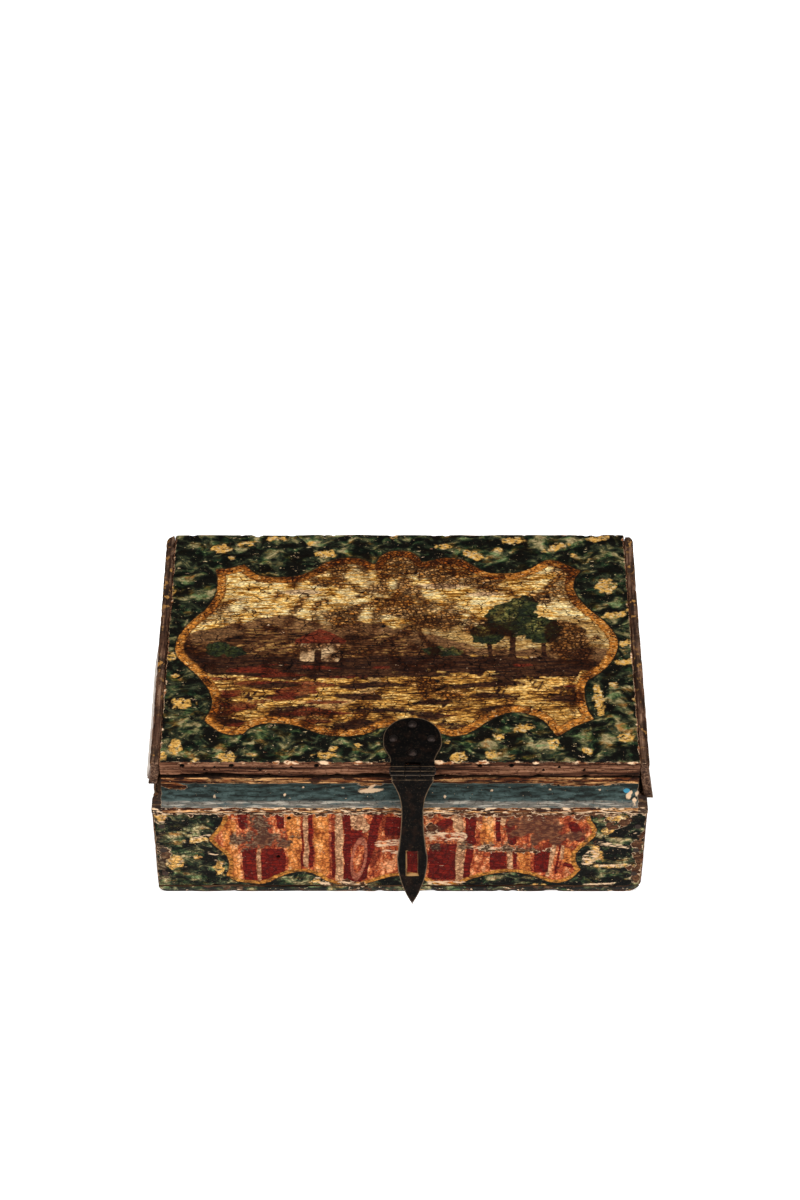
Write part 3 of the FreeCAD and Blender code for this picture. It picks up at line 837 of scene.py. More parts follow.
@dataclass(frozen=True)
class Marbling:
    """Mottled ground in thin oil colour: near-black green with olive and khaki dabs and flecks of ochre."""

    deep: str = "#0D0C07"
    dark: str = "#1C2116"
    middle: str = "#3D4630"
    light: str = "#7C7852"
    khaki: str = "#C2B080"
    ochre: str = "#EBB661"
    cream: str = "#EBD3A4"
    cool: str = "#93DCC6"
    warm: str = "#F2B46E"
    dab: Triple = (15.0, 8.0, 8.0)

    def coat(self, g: Graph) -> tuple[Socket, Socket]:
        """Adds the ground, with the stored pale and ochre dabs.

        Args:
            g: the graph.

        Returns:
            Its colour and the height of its brush strokes, as a share.
        """
        spot = bent(g, g.place, 1 / 18.0, 2.0, 24.0)
        scale = tuple(1 / length for length in self.dab)
        swept = g.add("VectorMath", {0: spot, 1: scale}, operation="MULTIPLY")
        dabs = g.add("TexNoise", {"Vector": swept, "Scale": 1.0, "Detail": 3.0, "Roughness": 0.55})
        # Bristle marks are finer than the dabs: three to a dab along its stroke and five across it
        fine = tuple(3.0 if length == max(self.dab) else 5.0 for length in self.dab)
        hairs = g.add("VectorMath", {0: swept, 1: fine}, operation="MULTIPLY")
        bristle = g.add("TexNoise", {"Vector": hairs, "Scale": 1.0, "Detail": 3.0, "Roughness": 0.6})
        mix = blended(g, bristle, dabs, 0.2)
        khaki = g.add("Attribute", out="Fac", attribute_name="khaki")
        mix = g.add("Math", {0: khaki, 1: 0.075, 2: mix}, operation="MULTIPLY_ADD")
        levels = (0.46, 0.497, 0.545, 0.597, 0.655)
        colours = (self.deep, self.dark, self.middle, self.light, self.khaki)
        colour = g.add("ValToRGB", {0: mix}, stops=tuple(zip(levels, colours)))
        size = scaled(self.dab, 0.8)
        colour = darkened(g, colour, patches(g, size, 0.49, 0.6, 16.0, 0.75), self.cool)
        colour = darkened(g, colour, patches(g, size, 0.52, 0.62, 17.0, 0.8), self.warm)
        broken = patches(g, (3.0, 1.6, 1.6), 0.37, 0.5, 7.0)
        fleck = patches(g, (5.0, 2.2, 2.2), 0.645, 0.69, 6.0, 0.85)
        strewn = dots(g, (19.0, 13.0, 13.0), 0.2, 0.35, 9.0)
        ochre = both(g, either(g, shaped(g, "ochre", 0.4, 0.2, 0.5, 3.0), strewn), broken)
        lit = layered(g, self.ochre, (patches(g, (3.0, 2.0, 2.0), 0.5, 0.62, 10.0), self.cream))
        colour = layered(g, colour, (fleck, self.cream), (ochre, lit))
        return weathered(g, colour, 0.4, 8.0), mix


@dataclass(frozen=True)
class LidPainting:
    """Tempera picture in an ochre frame on a marbled ground, under a yellowed varnish that has crackled.

    Old varnish has an index near 1.5, and worn it is half dull, with a roughness of about 0.45.
    """

    wood: AgedWood = BARE_EDGE
    ground: Marbling = Marbling(
        middle="#373C29", light="#68633F", khaki="#A29268", ochre="#D4A250", cream="#D2BA8C"
    )
    umber: str = "#2C1710"
    earth: str = "#6E472B"
    leaf: str = "#20261A"
    russet: str = "#7C2E1C"
    pale: str = "#DDB888"
    line: str = "#DB8C38"
    line_dark: str = "#9A5C20"
    band: float = 6.1

    def picture(self, g: Graph) -> Socket:
        """Adds the landscape inside the frame.

        Args:
            g: the graph.

        Returns:
            Its colour.
        """
        brush = figure(g, (9.0, 1.4, 4.0), 4.0, 11.0)
        tone = figure(g, (34.0, 12.0, 12.0), 2.0, 12.0)
        mix = blended(g, brush, tone, 0.65)
        stops = ((0.405, "#875216"), (0.46, "#E4A648"), (0.51, "#FFD684"), (0.57, "#FFE9AE"))
        sky = g.add("ValToRGB", {0: mix}, stops=stops)
        streak = patches(g, (14.0, 1.6, 4.0), 0.42, 0.58, 13.0)
        field_stops = ((0.41, "#482810"), (0.465, "#A06A2C"), (0.52, "#E0A64C"), (0.585, "#FCD080"))
        field_colour = g.add("ValToRGB", {0: mix}, stops=field_stops)
        glow = shaped(g, "glow", 0.5, 0.4, 0.4, 4.0)
        earth_stops = ((0.42, "#24120A"), (0.48, "#523018"), (0.54, self.earth), (0.6, "#B08448"))
        earth = g.add("ValToRGB", {0: mix}, stops=earth_stops)
        earth = layered(g, earth, (both(g, glow, 0.5), "#9A7048"))
        leaf = layered(g, self.leaf, (patches(g, (4.0, 3.0, 3.0), 0.46, 0.56, 14.0), "#373D20"))
        leaf = layered(g, leaf, (both(g, glow, patches(g, (3.0, 2.2, 2.2), 0.44, 0.54, 15.0)), "#7A733E"))
        russet = layered(g, self.russet, (streak, "#6A2C1A"))
        umber = layered(g, self.umber, (both(g, streak, 0.8), "#56351F"))
        distant = layered(g, "#C79F62", (streak, "#8E6A3A"))
        return layered(
            g,
            sky,
            (both(g, shaped(g, "distant", 0.5, 0.2, 0.4, 5.0), 0.7), distant),
            (shaped(g, "meadow", 0.5, 0.08, 0.2, 6.0), field_colour),
            (shaped(g, "hills", 0.5, 0.2, 0.35, 4.0), earth),
            (both(g, shaped(g, "path", 0.5, 0.15, 0.4, 4.0), 0.8), "#C89C60"),
            (shaped(g, "umber", 0.5, 0.16, 0.5, 4.0), umber),
            (shaped(g, "leaf", 0.5, 0.12, 0.6, 3.0), leaf),
            (both(g, shaped(g, "russet", 0.5, 0.15, 0.45, 3.0), 0.9), russet),
            (shaped(g, "pale", 0.5, 0.12, 0.3, 3.0), self.pale),
        )

    def material(self) -> Material:
        """Builds the lid's finish: picture, frame, ground, cracks, worn rims and worm holes.

        Returns:
            The material.
        """
        g = Graph("crackled_tempera_and_varnish_on_softwood")
        wood, wood_height = self.wood.coat(g)
        ground, strokes = self.ground.coat(g)
        picture = self.picture(g)
        outer = shaped(g, "cartouche", -1.1, 0.5, 1.0, 4.0)
        inside = shaped(g, "cartouche", 0.3, 0.4, 1.1, 4.0)
        inner = shaped(g, "cartouche", self.band - 0.6, 0.6, 1.3, 4.0)
        field_share = shaped(g, "cartouche", self.band + 0.4, 0.5, 1.8, 4.0)
        line = layered(g, self.line, (patches(g, (4.0, 1.8, 1.8), 0.46, 0.58, 21.0), self.line_dark))
        line = layered(g, line, (patches(g, (11.0, 4.0, 4.0), 0.54, 0.64, 23.0, 0.8), "#6A2E12"))
        line = layered(g, line, (patches(g, (2.2, 1.2, 1.2), 0.56, 0.64, 22.0), "#F0BE74"))
        colour = layered(g, ground, (both(g, outer, 0.8), "#16120B"), (inside, line))
        colour = layered(g, colour, (both(g, inner, 0.6), "#5B3614"), (field_share, picture))

        net, islands = crackle(g, (9.0, 4.6, 4.6), 0.075, 31.0)
        crumbs, tone = crackle(g, (3.4, 2.3, 2.3), 0.26, 37.0)
        rows = checks(g, (24.0, 2.6, 2.6), 0.026, 41.0)
        rows = both(g, rows, patches(g, (9.0, 3.0, 3.0), 0.42, 0.54, 49.0))
        net = either(g, both(g, net, patches(g, (14.0, 9.0, 9.0), 0.4, 0.52, 44.0)), rows)
        dirt = shaped(g, "dirt", 0.5, 0.4, 0.4, 9.0)
        clots = patches(g, (5.0, 2.4, 2.4), 0.46, 0.6, 43.0, 0.9)
        sooty = both(g, dirt, either(g, both(g, crumbs, 0.95), clots))
        net = both(g, net, g.add("Math", {0: inside, 1: 0.6, 2: 0.4}, operation="MULTIPLY_ADD"))
        fine = g.add("Math", {0: inside, 1: 0.28, 2: 0.22}, operation="MULTIPLY_ADD")
        webbing = either(g, net, both(g, crumbs, fine))
        colour = darkened(g, colour, above(g, islands, 0.5, 1.0, 0.18), "#B08A5C")
        colour = darkened(g, colour, above(g, tone, 0.5, 1.0, 0.26), "#8C6A48")
        colour = darkened(g, colour, both(g, dirt, both(g, inside, 0.75)), "#A87038")
        colour = layered(g, colour, (both(g, sooty, both(g, inside, 0.95)), "#2A1206"))
        colour = darkened(g, weathered(g, colour, 0.4, 47.0), webbing, "#2E160A")

        soft = shaped(g, "rim", 0.9, 1.3, 1.8, 4.0)
        bare, rim = flaked(g, rest_of(g, soft))
        scuff, scuff_rim = flaked(g, patches(g, (9.0, 4.0, 4.0), 0.64, 0.82, 46.0))
        hole = worm_holes(g)
        lost = either(g, bare, scuff)
        kept = patches(g, (7.0, 5.0, 5.0), 0.47, 0.56, 45.0, 0.9)
        flake = both(g, either(g, both(g, rim, 0.6), scuff_rim), kept)
        chipped = shaped(g, "arris", 0.5, 0.16, 0.45, 2.4)
        chips = layered(g, GESSO, (patches(g, (4.0, 2.0, 2.0), 0.46, 0.56, 50.0), "#8C5430"))
        colour = layered(g, colour, (lost, weathered(g, wood, 0.7, 48.0)), (flake, GESSO))
        colour = layered(g, colour, (chipped, chips), (hole, HOLE_SHADE))
        roughness = g.add("MapRange", {"Value": lost, "To Min": 0.46, "To Max": 0.74})
        relief = (
            (strokes, 0.35), (webbing, -0.14), (lost, -0.3), (wood_height, 0.3),
            (inside, 0.06), (flake, 0.12),
        )
        return g.finish(colour, roughness, heights(g, *relief), Specular_IOR_Level=0.06)


@dataclass(frozen=True)
class FrontPainting:
    """Striped panel of crimson, orange and cream in an ochre frame, on the marbled ground, much rubbed."""

    wood: AgedWood = AgedWood("front_wood", "#33190F", "#5E3A27", "#8A6245")
    ground: Marbling = Marbling(dab=(17.0, 7.0, 7.0))
    crimson: str = "#5E0E07"
    crimson_light: str = "#8E2213"
    orange: str = "#C86634"
    rose: str = "#A0452A"
    cream: str = "#E0B282"
    line: str = "#C88538"
    band: float = 3.4

    def stripes(self, g: Graph) -> Socket:
        """Adds the upright strokes inside the frame.

        Args:
            g: the graph.

        Returns:
            Their colour.
        """
        cloud = figure(g, (5.0, 4.0, 13.0), 5.0, 51.0)
        stipple = figure(g, (1.8, 1.8, 1.8), 3.0, 59.0)
        mix = blended(g, cloud, stipple, 0.65)
        stops = ((0.41, "#7A2C14"), (0.47, self.rose), (0.53, self.orange), (0.6, "#F0A874"))
        base = g.add("ValToRGB", {0: mix}, stops=stops)
        ochre_stops = ((0.4, "#9A4E1E"), (0.47, "#CC7836"), (0.54, "#E8994C"), (0.62, "#F6BA7C"))
        orange = g.add("ValToRGB", {0: mix}, stops=ochre_stops)
        streak = patches(g, (9.0, 4.0, 1.5), 0.5, 0.62, 52.0, 0.75)
        crimson = layered(g, self.crimson, (streak, self.crimson_light))
        cream = layered(g, self.cream, (patches(g, (3.0, 2.0, 2.0), 0.44, 0.56, 60.0, 0.8), "#8F6448"))
        return layered(
            g,
            base,
            (both(g, shaped(g, "orange", 0.5, 0.15, 0.5, 3.0), 0.85), orange),
            (both(g, shaped(g, "cream", 0.5, 0.15, 0.5, 2.6), 0.9), cream),
            (shaped(g, "crimson", 0.5, 0.1, 0.4, 2.6), crimson),
            (both(g, shaped(g, "rose", 0.5, 0.12, 0.3, 2.6), 0.85), "#B26A50"),
        )

    def material(self) -> Material:
        """Builds the front's finish: stripes, frame, ground, rubbed patches and worm holes.

        Returns:
            The material.
        """
        g = Graph("rubbed_tempera_stripes_on_softwood")
        wood, wood_height = self.wood.coat(g)
        ground, strokes = self.ground.coat(g)
        outer = shaped(g, "cartouche", -1.0, 0.5, 1.0, 4.0)
        inside = shaped(g, "cartouche", 0.2, 0.4, 1.1, 4.0)
        field_share = shaped(g, "cartouche", self.band, 0.6, 1.4, 4.0)
        line = layered(g, self.line, (patches(g, (3.6, 2.0, 1.6), 0.46, 0.6, 53.0), "#80501E"))
        line = layered(g, line, (patches(g, (2.4, 2.0, 1.4), 0.56, 0.66, 61.0), "#D39A52"))
        colour = layered(g, ground, (both(g, outer, 0.7), "#17130C"), (inside, line))
        colour = layered(g, colour, (field_share, self.stripes(g)))

        cracks, tone = crackle(g, (3.6, 3.0, 4.4), 0.16, 54.0)
        colour = darkened(g, colour, above(g, tone, 0.3, 1.0, 0.4), "#A87058")
        colour = darkened(g, weathered(g, colour, 0.5, 55.0), both(g, cracks, 0.55), "#5A3020")
        soft = shaped(g, "loss", 0.5, 0.4, 0.5, 4.0)
        rub = rest_of(g, shaped(g, "rim", 0.9, 1.3, 1.8, 4.0))
        lost, rim = flaked(g, either(g, soft, rub, patches(g, (12.0, 4.0, 3.0), 0.62, 0.8, 56.0)))
        torn = shaped(g, "flake", 0.5, 0.2, 0.6, 3.0)
        torn = both(g, torn, patches(g, (6.0, 3.0, 1.7), 0.46, 0.56, 57.0))
        flake = either(g, torn, both(g, rim, patches(g, (5.0, 3.0, 4.0), 0.45, 0.55, 62.0, 0.85)))
        hole = worm_holes(g)
        grime = patches(g, (2.6, 2.0, 2.0), 0.42, 0.56, 58.0, 0.75)
        worn = layered(g, wood, (grime, "#35251A"))
        colour = layered(g, colour, (lost, weathered(g, worn, 0.7, 63.0)))
        smear = both(g, shaped(g, "grey", 0.5, 0.22, 1.1, 2.2), 0.9)
        soot = layered(g, "#33231A", (patches(g, (3.0, 2.0, 1.8), 0.48, 0.6, 65.0), "#75614A"))
        stain = both(g, shaped(g, "brown", 0.5, 0.25, 0.6, 2.8), 0.92)
        earth = layered(g, "#44251A", (patches(g, (4.0, 2.0, 2.0), 0.48, 0.6, 64.0), "#70472F"))
        colour = layered(g, colour, (smear, soot), (stain, earth), (flake, GESSO), (hole, HOLE_SHADE))
        roughness = g.add("MapRange", {"Value": lost, "To Min": 0.5, "To Max": 0.76})
        relief = ((strokes, 0.35), (cracks, -0.12), (lost, -0.35), (wood_height, 0.3), (flake, 0.15))
        return g.finish(colour, roughness, heights(g, *relief), Specular_IOR_Level=0.03)


@dataclass(frozen=True)
class SidePainting:
    """The marbled ground alone, carried round the sides and rubbed to the wood at the edges and in spots."""

    name: str = "rubbed_marbled_paint_on_side_boards"
    wood: AgedWood = AgedWood("side_wood", "#2A1A10", "#553C2A", "#7C5E45", (2.6, 70.0, 2.6))
    ground: Marbling = Marbling(dab=(7.0, 17.0, 7.0))

    def material(self) -> Material:
        """Builds the finish, painted where the stored distance to the rim is large enough.

        Returns:
            The material.
        """
        g = Graph(self.name)
        wood, wood_height = self.wood.coat(g)
        ground, strokes = self.ground.coat(g)
        cracks, _ = crackle(g, (3.0, 3.0, 2.2), 0.14, 61.0)
        scuff = patches(g, (9.0, 14.0, 5.0), 0.56, 0.62, 62.0)
        lost = either(g, scuff, rest_of(g, shaped(g, "rim", 1.2, 0.5, 2.6, 5.0)))
        flake = both(g, patches(g, (5.0, 7.0, 3.0), 0.64, 0.68, 63.0), shaped(g, "rim", 0.2, 0.2))
        colour = layered(g, ground, (both(g, cracks, 0.5), "#1B120B"), (lost, wood), (flake, GESSO))
        roughness = g.add("MapRange", {"Value": lost, "To Min": 0.5, "To Max": 0.76})
        height = heights(g, (strokes, 0.25), (cracks, -0.1), (lost, -0.3), (wood_height, 0.3), (flake, 0.12))
        return g.finish(colour, roughness, height, Specular_IOR_Level=0.1)


@dataclass(frozen=True)
class CoveBlue:
    """Slate blue distemper on the cove, lip rubbed grey with a painted highlight, fillet rubbed to the wood,
    flakes.
    """

    wood: AgedWood = AgedWood("moulding_wood", "#1A0904", "#733C1C", "#F0B474")
    deep: str = "#191D1A"
    blue: str = "#2D3936"
    light: str = "#43524F"
    # grey of the lip: rubbed paint, and a painted highlight on its rounded edge
    lip: str = "#6A645B"

    def material(self) -> Material:
        """Builds the moulding's finish, with its zones set by the stored climb along its section.

        Returns:
            The material.
        """
        g = Graph("rubbed_blue_distemper_on_softwood")
        wood, wood_height = self.wood.coat(g)
        tone = figure(g, (12.0, 3.0, 2.4), 5.0, 72.0)
        stops = ((0.38, self.deep), (0.5, self.blue), (0.64, self.light))
        blue = g.add("ValToRGB", {0: tone}, stops=stops)
        # The lip and the foot of the cove are laid grey with paler streaks: rubbed paint, and a painted
        # highlight along the lip's rounded edge.
        ledge = shaped(g, "low", -10.6, 0.7, 0.8, 5.0)
        lip = layered(g, self.lip, (above(g, tone, 0.48, 0.6), "#4A504E"))
        lip = layered(g, lip, (patches(g, (16.0, 2.0, 1.4), 0.52, 0.62, 78.0), "#A8A092"))
        blue = layered(g, blue, (both(g, ledge, 0.8), lip))
        top = shaped(g, "climb", 24.6, 0.9, 1.6, 12.0)
        foot = shaped(g, "low", -5.0, 0.7, 1.2, 6.0)
        gone = either(g, top, foot, shaped(g, "loss", 0.5, 0.3, 0.5, 4.0))
        lost, rim = flaked(g, gone)
        crumbs = both(g, foot, patches(g, (6.0, 4.0, 2.0), 0.54, 0.6, 75.0, 0.95))
        crumbs = either(g, crumbs, both(g, rim, 0.3))
        specks = patches(g, (2.2, 2.2, 1.8), 0.72, 0.75, 74.0)
        flake = either(g, both(g, shaped(g, "flake", 0.5, 0.2, 0.5, 1.6), 0.9), crumbs, specks)
        bright = shaped(g, "bright", 0.5, 0.1, 0.3, 2.0)
        hole = worm_holes(g)
        grime = patches(g, (12.0, 3.0, 2.0), 0.45, 0.56, 73.0, 0.95)
        worn = layered(g, wood, (grime, "#220E07"))
        # Painted shade: the faces off the front line and the returned ends are coloured dark grey-brown,
        # where the lid's edge and the cheeks shade them
        ends = shaped(g, "ends", 0.5, 0.2, 0.3, 3.0)
        worn = layered(g, worn, (both(g, ends, 0.9), "#2C211B"))
        colour = layered(g, weathered(g, blue, 0.55, 76.0), (lost, weathered(g, worn, 0.7, 77.0)))
        colour = layered(g, colour, (flake, GESSO), (bright, "#3E86A0"), (hole, HOLE_SHADE))
        roughness = g.add("MapRange", {"Value": lost, "To Min": 0.55, "To Max": 0.76})
        height = heights(g, (tone, 0.3), (lost, -0.25), (wood_height, 0.35), (flake, 0.15))
        return g.finish(colour, roughness, height, Specular_IOR_Level=0.1)


@dataclass(frozen=True)
class ForgedIron:
    """Wrought iron with a black scale: dark, half dull, brown with rust in places, bright at rubbed edges and
    painted highlights.

    Iron under scale reflects little, and a forged surface has a roughness of about 0.5.
    """

    name: str
    scale: str = "#0A0807"
    rust: str = "#20140E"
    # colour of bright specks and rubbed edges, also of the painted highlights on the edges and the hinge's
    # lines
    bright: str = "#7A654F"
    metallic: float = 0.9
    roughness: float = 0.5
    edged: bool = True

    def material(self) -> Material:
        """Builds the iron's finish, with edges rubbed bright and painted highlights where the piece stores
        its edge field.

        Returns:
            The material.
        """
        g = Graph(self.name)
        hammer = figure(g, (5.0, 5.0, 5.0), 3.0, 81.0)
        grit = figure(g, (1.2, 1.2, 1.2), 3.0, 82.0)
        rust = patches(g, (7.0, 7.0, 9.0), 0.5, 0.66, 83.0, 0.7)
        colour = layered(g, self.scale, (rust, self.rust), (above(g, grit, 0.58, 0.72, 0.2), self.bright))
        if self.edged:
            # Painted highlight: the stored edge field brightens the plate's rim, the strap's sides and collar
            # and lines on the hinge, along with rubbed metal
            edge = both(g, shaped(g, "edge", 0.5, 0.25, 0.35, 6.0), 0.7)
            # The slot's rim: a rust-coloured edge, with a painted highlight that is strongest on the side
            # facing the light
            slot = shaped(g, "slot_rim_rust_and_highlight", 0.5, 0.15, 0.1, 4.0)
            slot = both(g, slot, patches(g, (4.0, 4.0, 5.0), 0.34, 0.5, 84.0))
            colour = layered(g, colour, (edge, self.bright), (slot, "#C09A66"))
        dull = {"Value": grit, "To Min": self.roughness - 0.1, "To Max": self.roughness + 0.16}
        roughness = g.add("MapRange", dull)
        height = heights(g, (hammer, 0.35), (grit, 0.12), (rust, -0.06))
        return g.finish(colour, roughness, height, Metallic=self.metallic, Specular_IOR_Level=0.25)


# The painted motifs


LID_FRAME: Outline = (
    ((-133, 83), (-125, 84), (-119, 86), (-112, 88.5)),
    (
        (-112, 88.5), (-108, 83), (-102, 77.5), (-95, 76), (-87, 75.5), (-79, 75.5), (-72, 77), (-66, 80),
        (-60, 84.5), (-54, 90), (-46, 93.5), (-38, 95), (-30, 94.5), (-24, 92), (-18, 88),
    ),
    ((-18, 88), (-14, 96), (-8, 101), (0, 102.5), (7, 101.5), (13, 97), (16, 91)),
    (
        (16, 91), (22, 92), (29, 94.5), (37, 95), (44, 93.5), (50, 90), (55, 86), (60, 82), (66, 79.5),
        (74, 79), (82, 79.5), (90, 82), (97, 86), (102, 90), (106, 93),
    ),
    ((106, 93), (113, 92), (120, 88.5), (126, 84), (131, 82)),
    (
        (131, 82), (127, 76), (125, 69), (125.5, 61), (128.5, 53), (133, 46), (139, 38.5), (145, 31),
        (150, 23), (153.5, 14), (153.5, 5), (150.5, -4), (146, -12), (139, -20), (131, -26),
    ),
    ((131, -26), (128.5, -34), (128.5, -44), (130, -54), (134, -63)),
    ((134, -63), (126, -66.5), (118, -71), (112, -76), (108, -79)),
    (
        (108, -79), (104.5, -73), (100.5, -66), (95, -61), (87, -57.5), (78, -56.5), (70, -58.5), (63, -63),
        (57, -68), (50, -74), (43, -77.5), (35, -78.5), (28, -76), (18, -72), (6, -71), (-6, -70), (-13, -71),
        (-21, -75.5), (-30, -78), (-40, -78.5), (-50, -77.5), (-58, -75), (-65, -71.5), (-72, -68.5),
        (-80, -67), (-89, -66.5), (-97, -68), (-103, -71.5), (-108, -77),
    ),
    ((-108, -77), (-115, -77.5), (-122, -75.5), (-129, -70), (-135, -63.5)),
    (
        (-135, -63.5), (-131.5, -57), (-130, -48), (-131, -40), (-135, -31), (-141, -22), (-148, -14),
        (-154, -7), (-157.5, 0), (-158, 8), (-156, 17), (-151, 27), (-145, 35), (-139, 42), (-134.5, 50),
        (-131.5, 59), (-131, 68), (-131.5, 76), (-133, 83),
    ),
)

FRONT_FRAME: Outline = (
    ((-122, 90), (-121.5, 76), (-124.5, 67), (-129, 59.5), (-132.5, 53.5)),
    ((-132.5, 53.5), (-129, 47), (-124.5, 41), (-121, 36), (-119.5, 30)),
    ((-119.5, 30), (-119.5, 22), (-121.5, 13.5)),
    (
        (-121.5, 13.5), (-116, 8), (-108, 5.5), (-101, 4.2), (-95, 4.6), (-89, 8), (-83, 12.5), (-76, 16.5),
        (-68, 17.8), (-62, 16.5), (-57, 13), (-53, 9), (-48, 5.5), (-42, 3.2), (-34, 2), (-26, 3.5), (-18, 7),
        (-10, 11), (0, 13.5), (10, 13), (18, 8), (26, 3.5), (34, 2), (41, 3.5), (47, 7.5), (54, 11.5),
        (62, 14.5), (71, 16.8), (80, 17), (88, 15.5), (95, 12.5), (101, 8.5), (107, 5.8),
    ),
    ((107, 5.8), (113, 5.8), (119, 9), (123.5, 14.5), (126.5, 20.5)),
    ((126.5, 20.5), (123.5, 27), (122.5, 35), (125, 42), (130, 48.5), (134.5, 55.5), (136, 62), (134, 69),
     (131, 76), (130, 90)),
    ((130, 90), (0, 90), (-122, 90)),
)

# Dabs as centre, two radii and, if turned, degrees
LID_OCHRE_DABS = (
    (-130, 104, 7, 4), (-53, 99, 7, 3.6), (-165, 60, 3.4, 4.5), (-160, -3, 3.5, 3.5),
    (83, 113, 7, 3, 5), (53, 98, 8, 3, -22), (115, 106, 7, 3, 22), (145, 115, 7, 2.5, 10), (148, 66, 7, 7),
    (153, 37, 9, 2.6, 14), (160, 10, 6, 2.4, 10), (158, -8, 6, 2.4, 8), (-150, -48, 6.5, 4, -8),
    (-153, -88, 4, 6.5), (-163, -97, 4, 4), (-118, -98, 6, 4), (138, -45, 2.8, 14, 4), (85, -71, 6, 3, 10),
    (68, -79, 3.5, 2.4), (40, -98, 5, 5), (105, -86, 3.4, 4), (155, -80, 5, 4, 20), (32, 107, 5, 2),
    (-110, 110, 6, 2, 15), (-90, 115, 5, 2), (128, -92, 3, 3), (-50, -96, 6, 2.4), (62, -96, 4, 2.4),
)
LID_KHAKI_DABS = (
    (140, 98, 15, 4, 8), (75, 97, 6, 6), (102, 105, 4.5, 9), (-145, -65, 12, 5), (150, -37, 9, 4.5, -6),
    (88, -85, 14, 7, 20), (125, -83, 7, 9), (148, -76, 12, 9, 30), (-77, -90, 5, 7), (-143, 60, 8, 8),
    (-62, 112, 5, 8), (-45, 106, 14, 6, 10), (150, 47, 9, 3, 10), (-138, -93, 7, 9), (-100, -88, 9, 8, 20),
    (62, -88, 7, 10, 10), (152, -58, 6, 8), (-20, -90, 8, 6), (120, 112, 9, 5),
)
FRONT_OCHRE_DABS = (
    (-164, 77, 4, 4), (-157, 28, 6, 7), (-126, 22, 3, 7), (137, 38, 3, 8, 18), (132, 29, 3, 4), (98, 2, 6, 3),
    (150, 24, 12, 1.6, 2), (150, 76, 7, 3), (-59, 7, 3, 3), (-140, 52, 8, 2, 12), (144, 62, 4, 3),
)
FRONT_KHAKI_DABS = (
    (-150, 58, 9, 4), (-148, 38, 12, 4, 8), (-140, 66, 10, 3, 10), (155, 52, 10, 4), (145, 10, 16, 4),
    (-150, 12, 10, 5), (60, 8, 8, 2, 10), (156, 34, 9, 4), (-130, 72, 5, 4),
)

# Upright strokes of the front panel as two ends and half a width, and broad ones as left, right, bottom
# and top
CRIMSON_STROKES = (
    (-107.8, 82, -107.8, 67, 3.3), (-82, 80, -82, 67, 3.0), (-67.6, 62, -67.6, 24, 0.8),
    (-61.6, 82, -61.6, 24, 1.5), (-46, 60, -46, 12, 1.2), (-15, 78, -26, 12, 3.0), (33, 71, 26, 65, 4.2),
    (48, 79, 49.5, 50, 3.6), (48.5, 42, 46, 12, 2.3), (68.2, 79, 68, 52, 1.7), (76, 68, 78, 50, 3.2),
    (80.2, 38, 80.2, 24, 1.3), (103.5, 65.5, 109, 64.5, 2.8), (119.5, 68, 124.5, 54, 3.8),
    (110.5, 48, 109, 16, 0.8), (116, 26, 120, 24, 2.2),
)
CRIMSON_PANELS = (
    (-109.5, -99.8, 8, 43), (-96.6, -79.8, 7, 43), (-39, -33.5, 5, 82), (-34, -25, 47, 63), (-34, -27, 4, 13),
    (-10.5, 1, 57, 77), (1, 16, 14, 46), (20, 39.3, 9, 48), (63.3, 74, 20, 39), (93.8, 104, 17, 41),
)
CREAM_STROKES = (
    (-65, 82, -65, 24, 1.6), (-42, 82, -42, 8, 2.6), (-98.2, 42, -98.2, 9, 1.3), (42.6, 50, 42, 10, 3.0),
    (106.5, 46, 103.5, 14, 1.5), (39, 76, 41, 64, 3.6), (-30, 74, -26, 66, 6.0), (112.5, 45, 113, 32, 1.4),
    (76.5, 40, 77, 22, 1.8), (-113.5, 60, -113.5, 44, 1.0), (71, 78, 71.5, 70, 1.8),
)
ORANGE_STROKES = (
    (-73.2, 80, -73.2, 20, 4.6), (-54, 80, -54, 18, 5.2), (60.5, 78, 60.5, 50, 4.4), (86, 38, 88, 20, 4.0),
    (-118, 70, -116, 10, 5.0), (116, 40, 118, 30, 4.0),
)

# Wear of the front, rubbed to the wood or flaked to the gesso: strokes and dabs as above
FRONT_RUBS = ((22, 82, 130, 81, 4.0), (58, 43, 104, 40, 1.8), (167, 60, 165, 10, 3.0), (20, 66, 22, 60, 3.0))
FRONT_RUB_DABS = ((-163, 38, 4, 5), (150, 70, 8, 4), (-36, 4, 9, 3.4))
FRONT_FLAKES = (
    (138, 49, 158, 44.5, 1.6), (-14, 48, 0, 50, 3.4), (-10, 40, 0, 38, 2.2), (20, 56, 42, 56, 4.6),
    (-165, 72, -162, 76, 3.0), (130, 3.5, 150, 4.5, 1.0), (-133, 38, -126, 37, 1.3), (22, 6, 44, 5, 2.6),
    (50, 44, 70, 43, 1.2), (-42, 5, -30, 4, 2.2), (-142, 54, -132, 57, 1.1), (-128, 30, -121, 26, 0.9),
    (140, 24, 156, 25, 1.0), (-58, 10, -52, 4, 2.4),
)
FRONT_FLAKE_DABS = ((133, 34, 5, 10, -25),)
FRONT_SOOT = ((-95, 53, 17, 7), (-96, 69, 6, 11), (62, 45, 12, 1.5), (-166, 30, 3, 12))
FRONT_STAIN = (
    (93, 68, 16, 12, -10), (84, 80, 34, 3), (102, 57, 22, 6, -8), (-93, 52, 8, 4, 10), (23, 63, 4, 3),
)

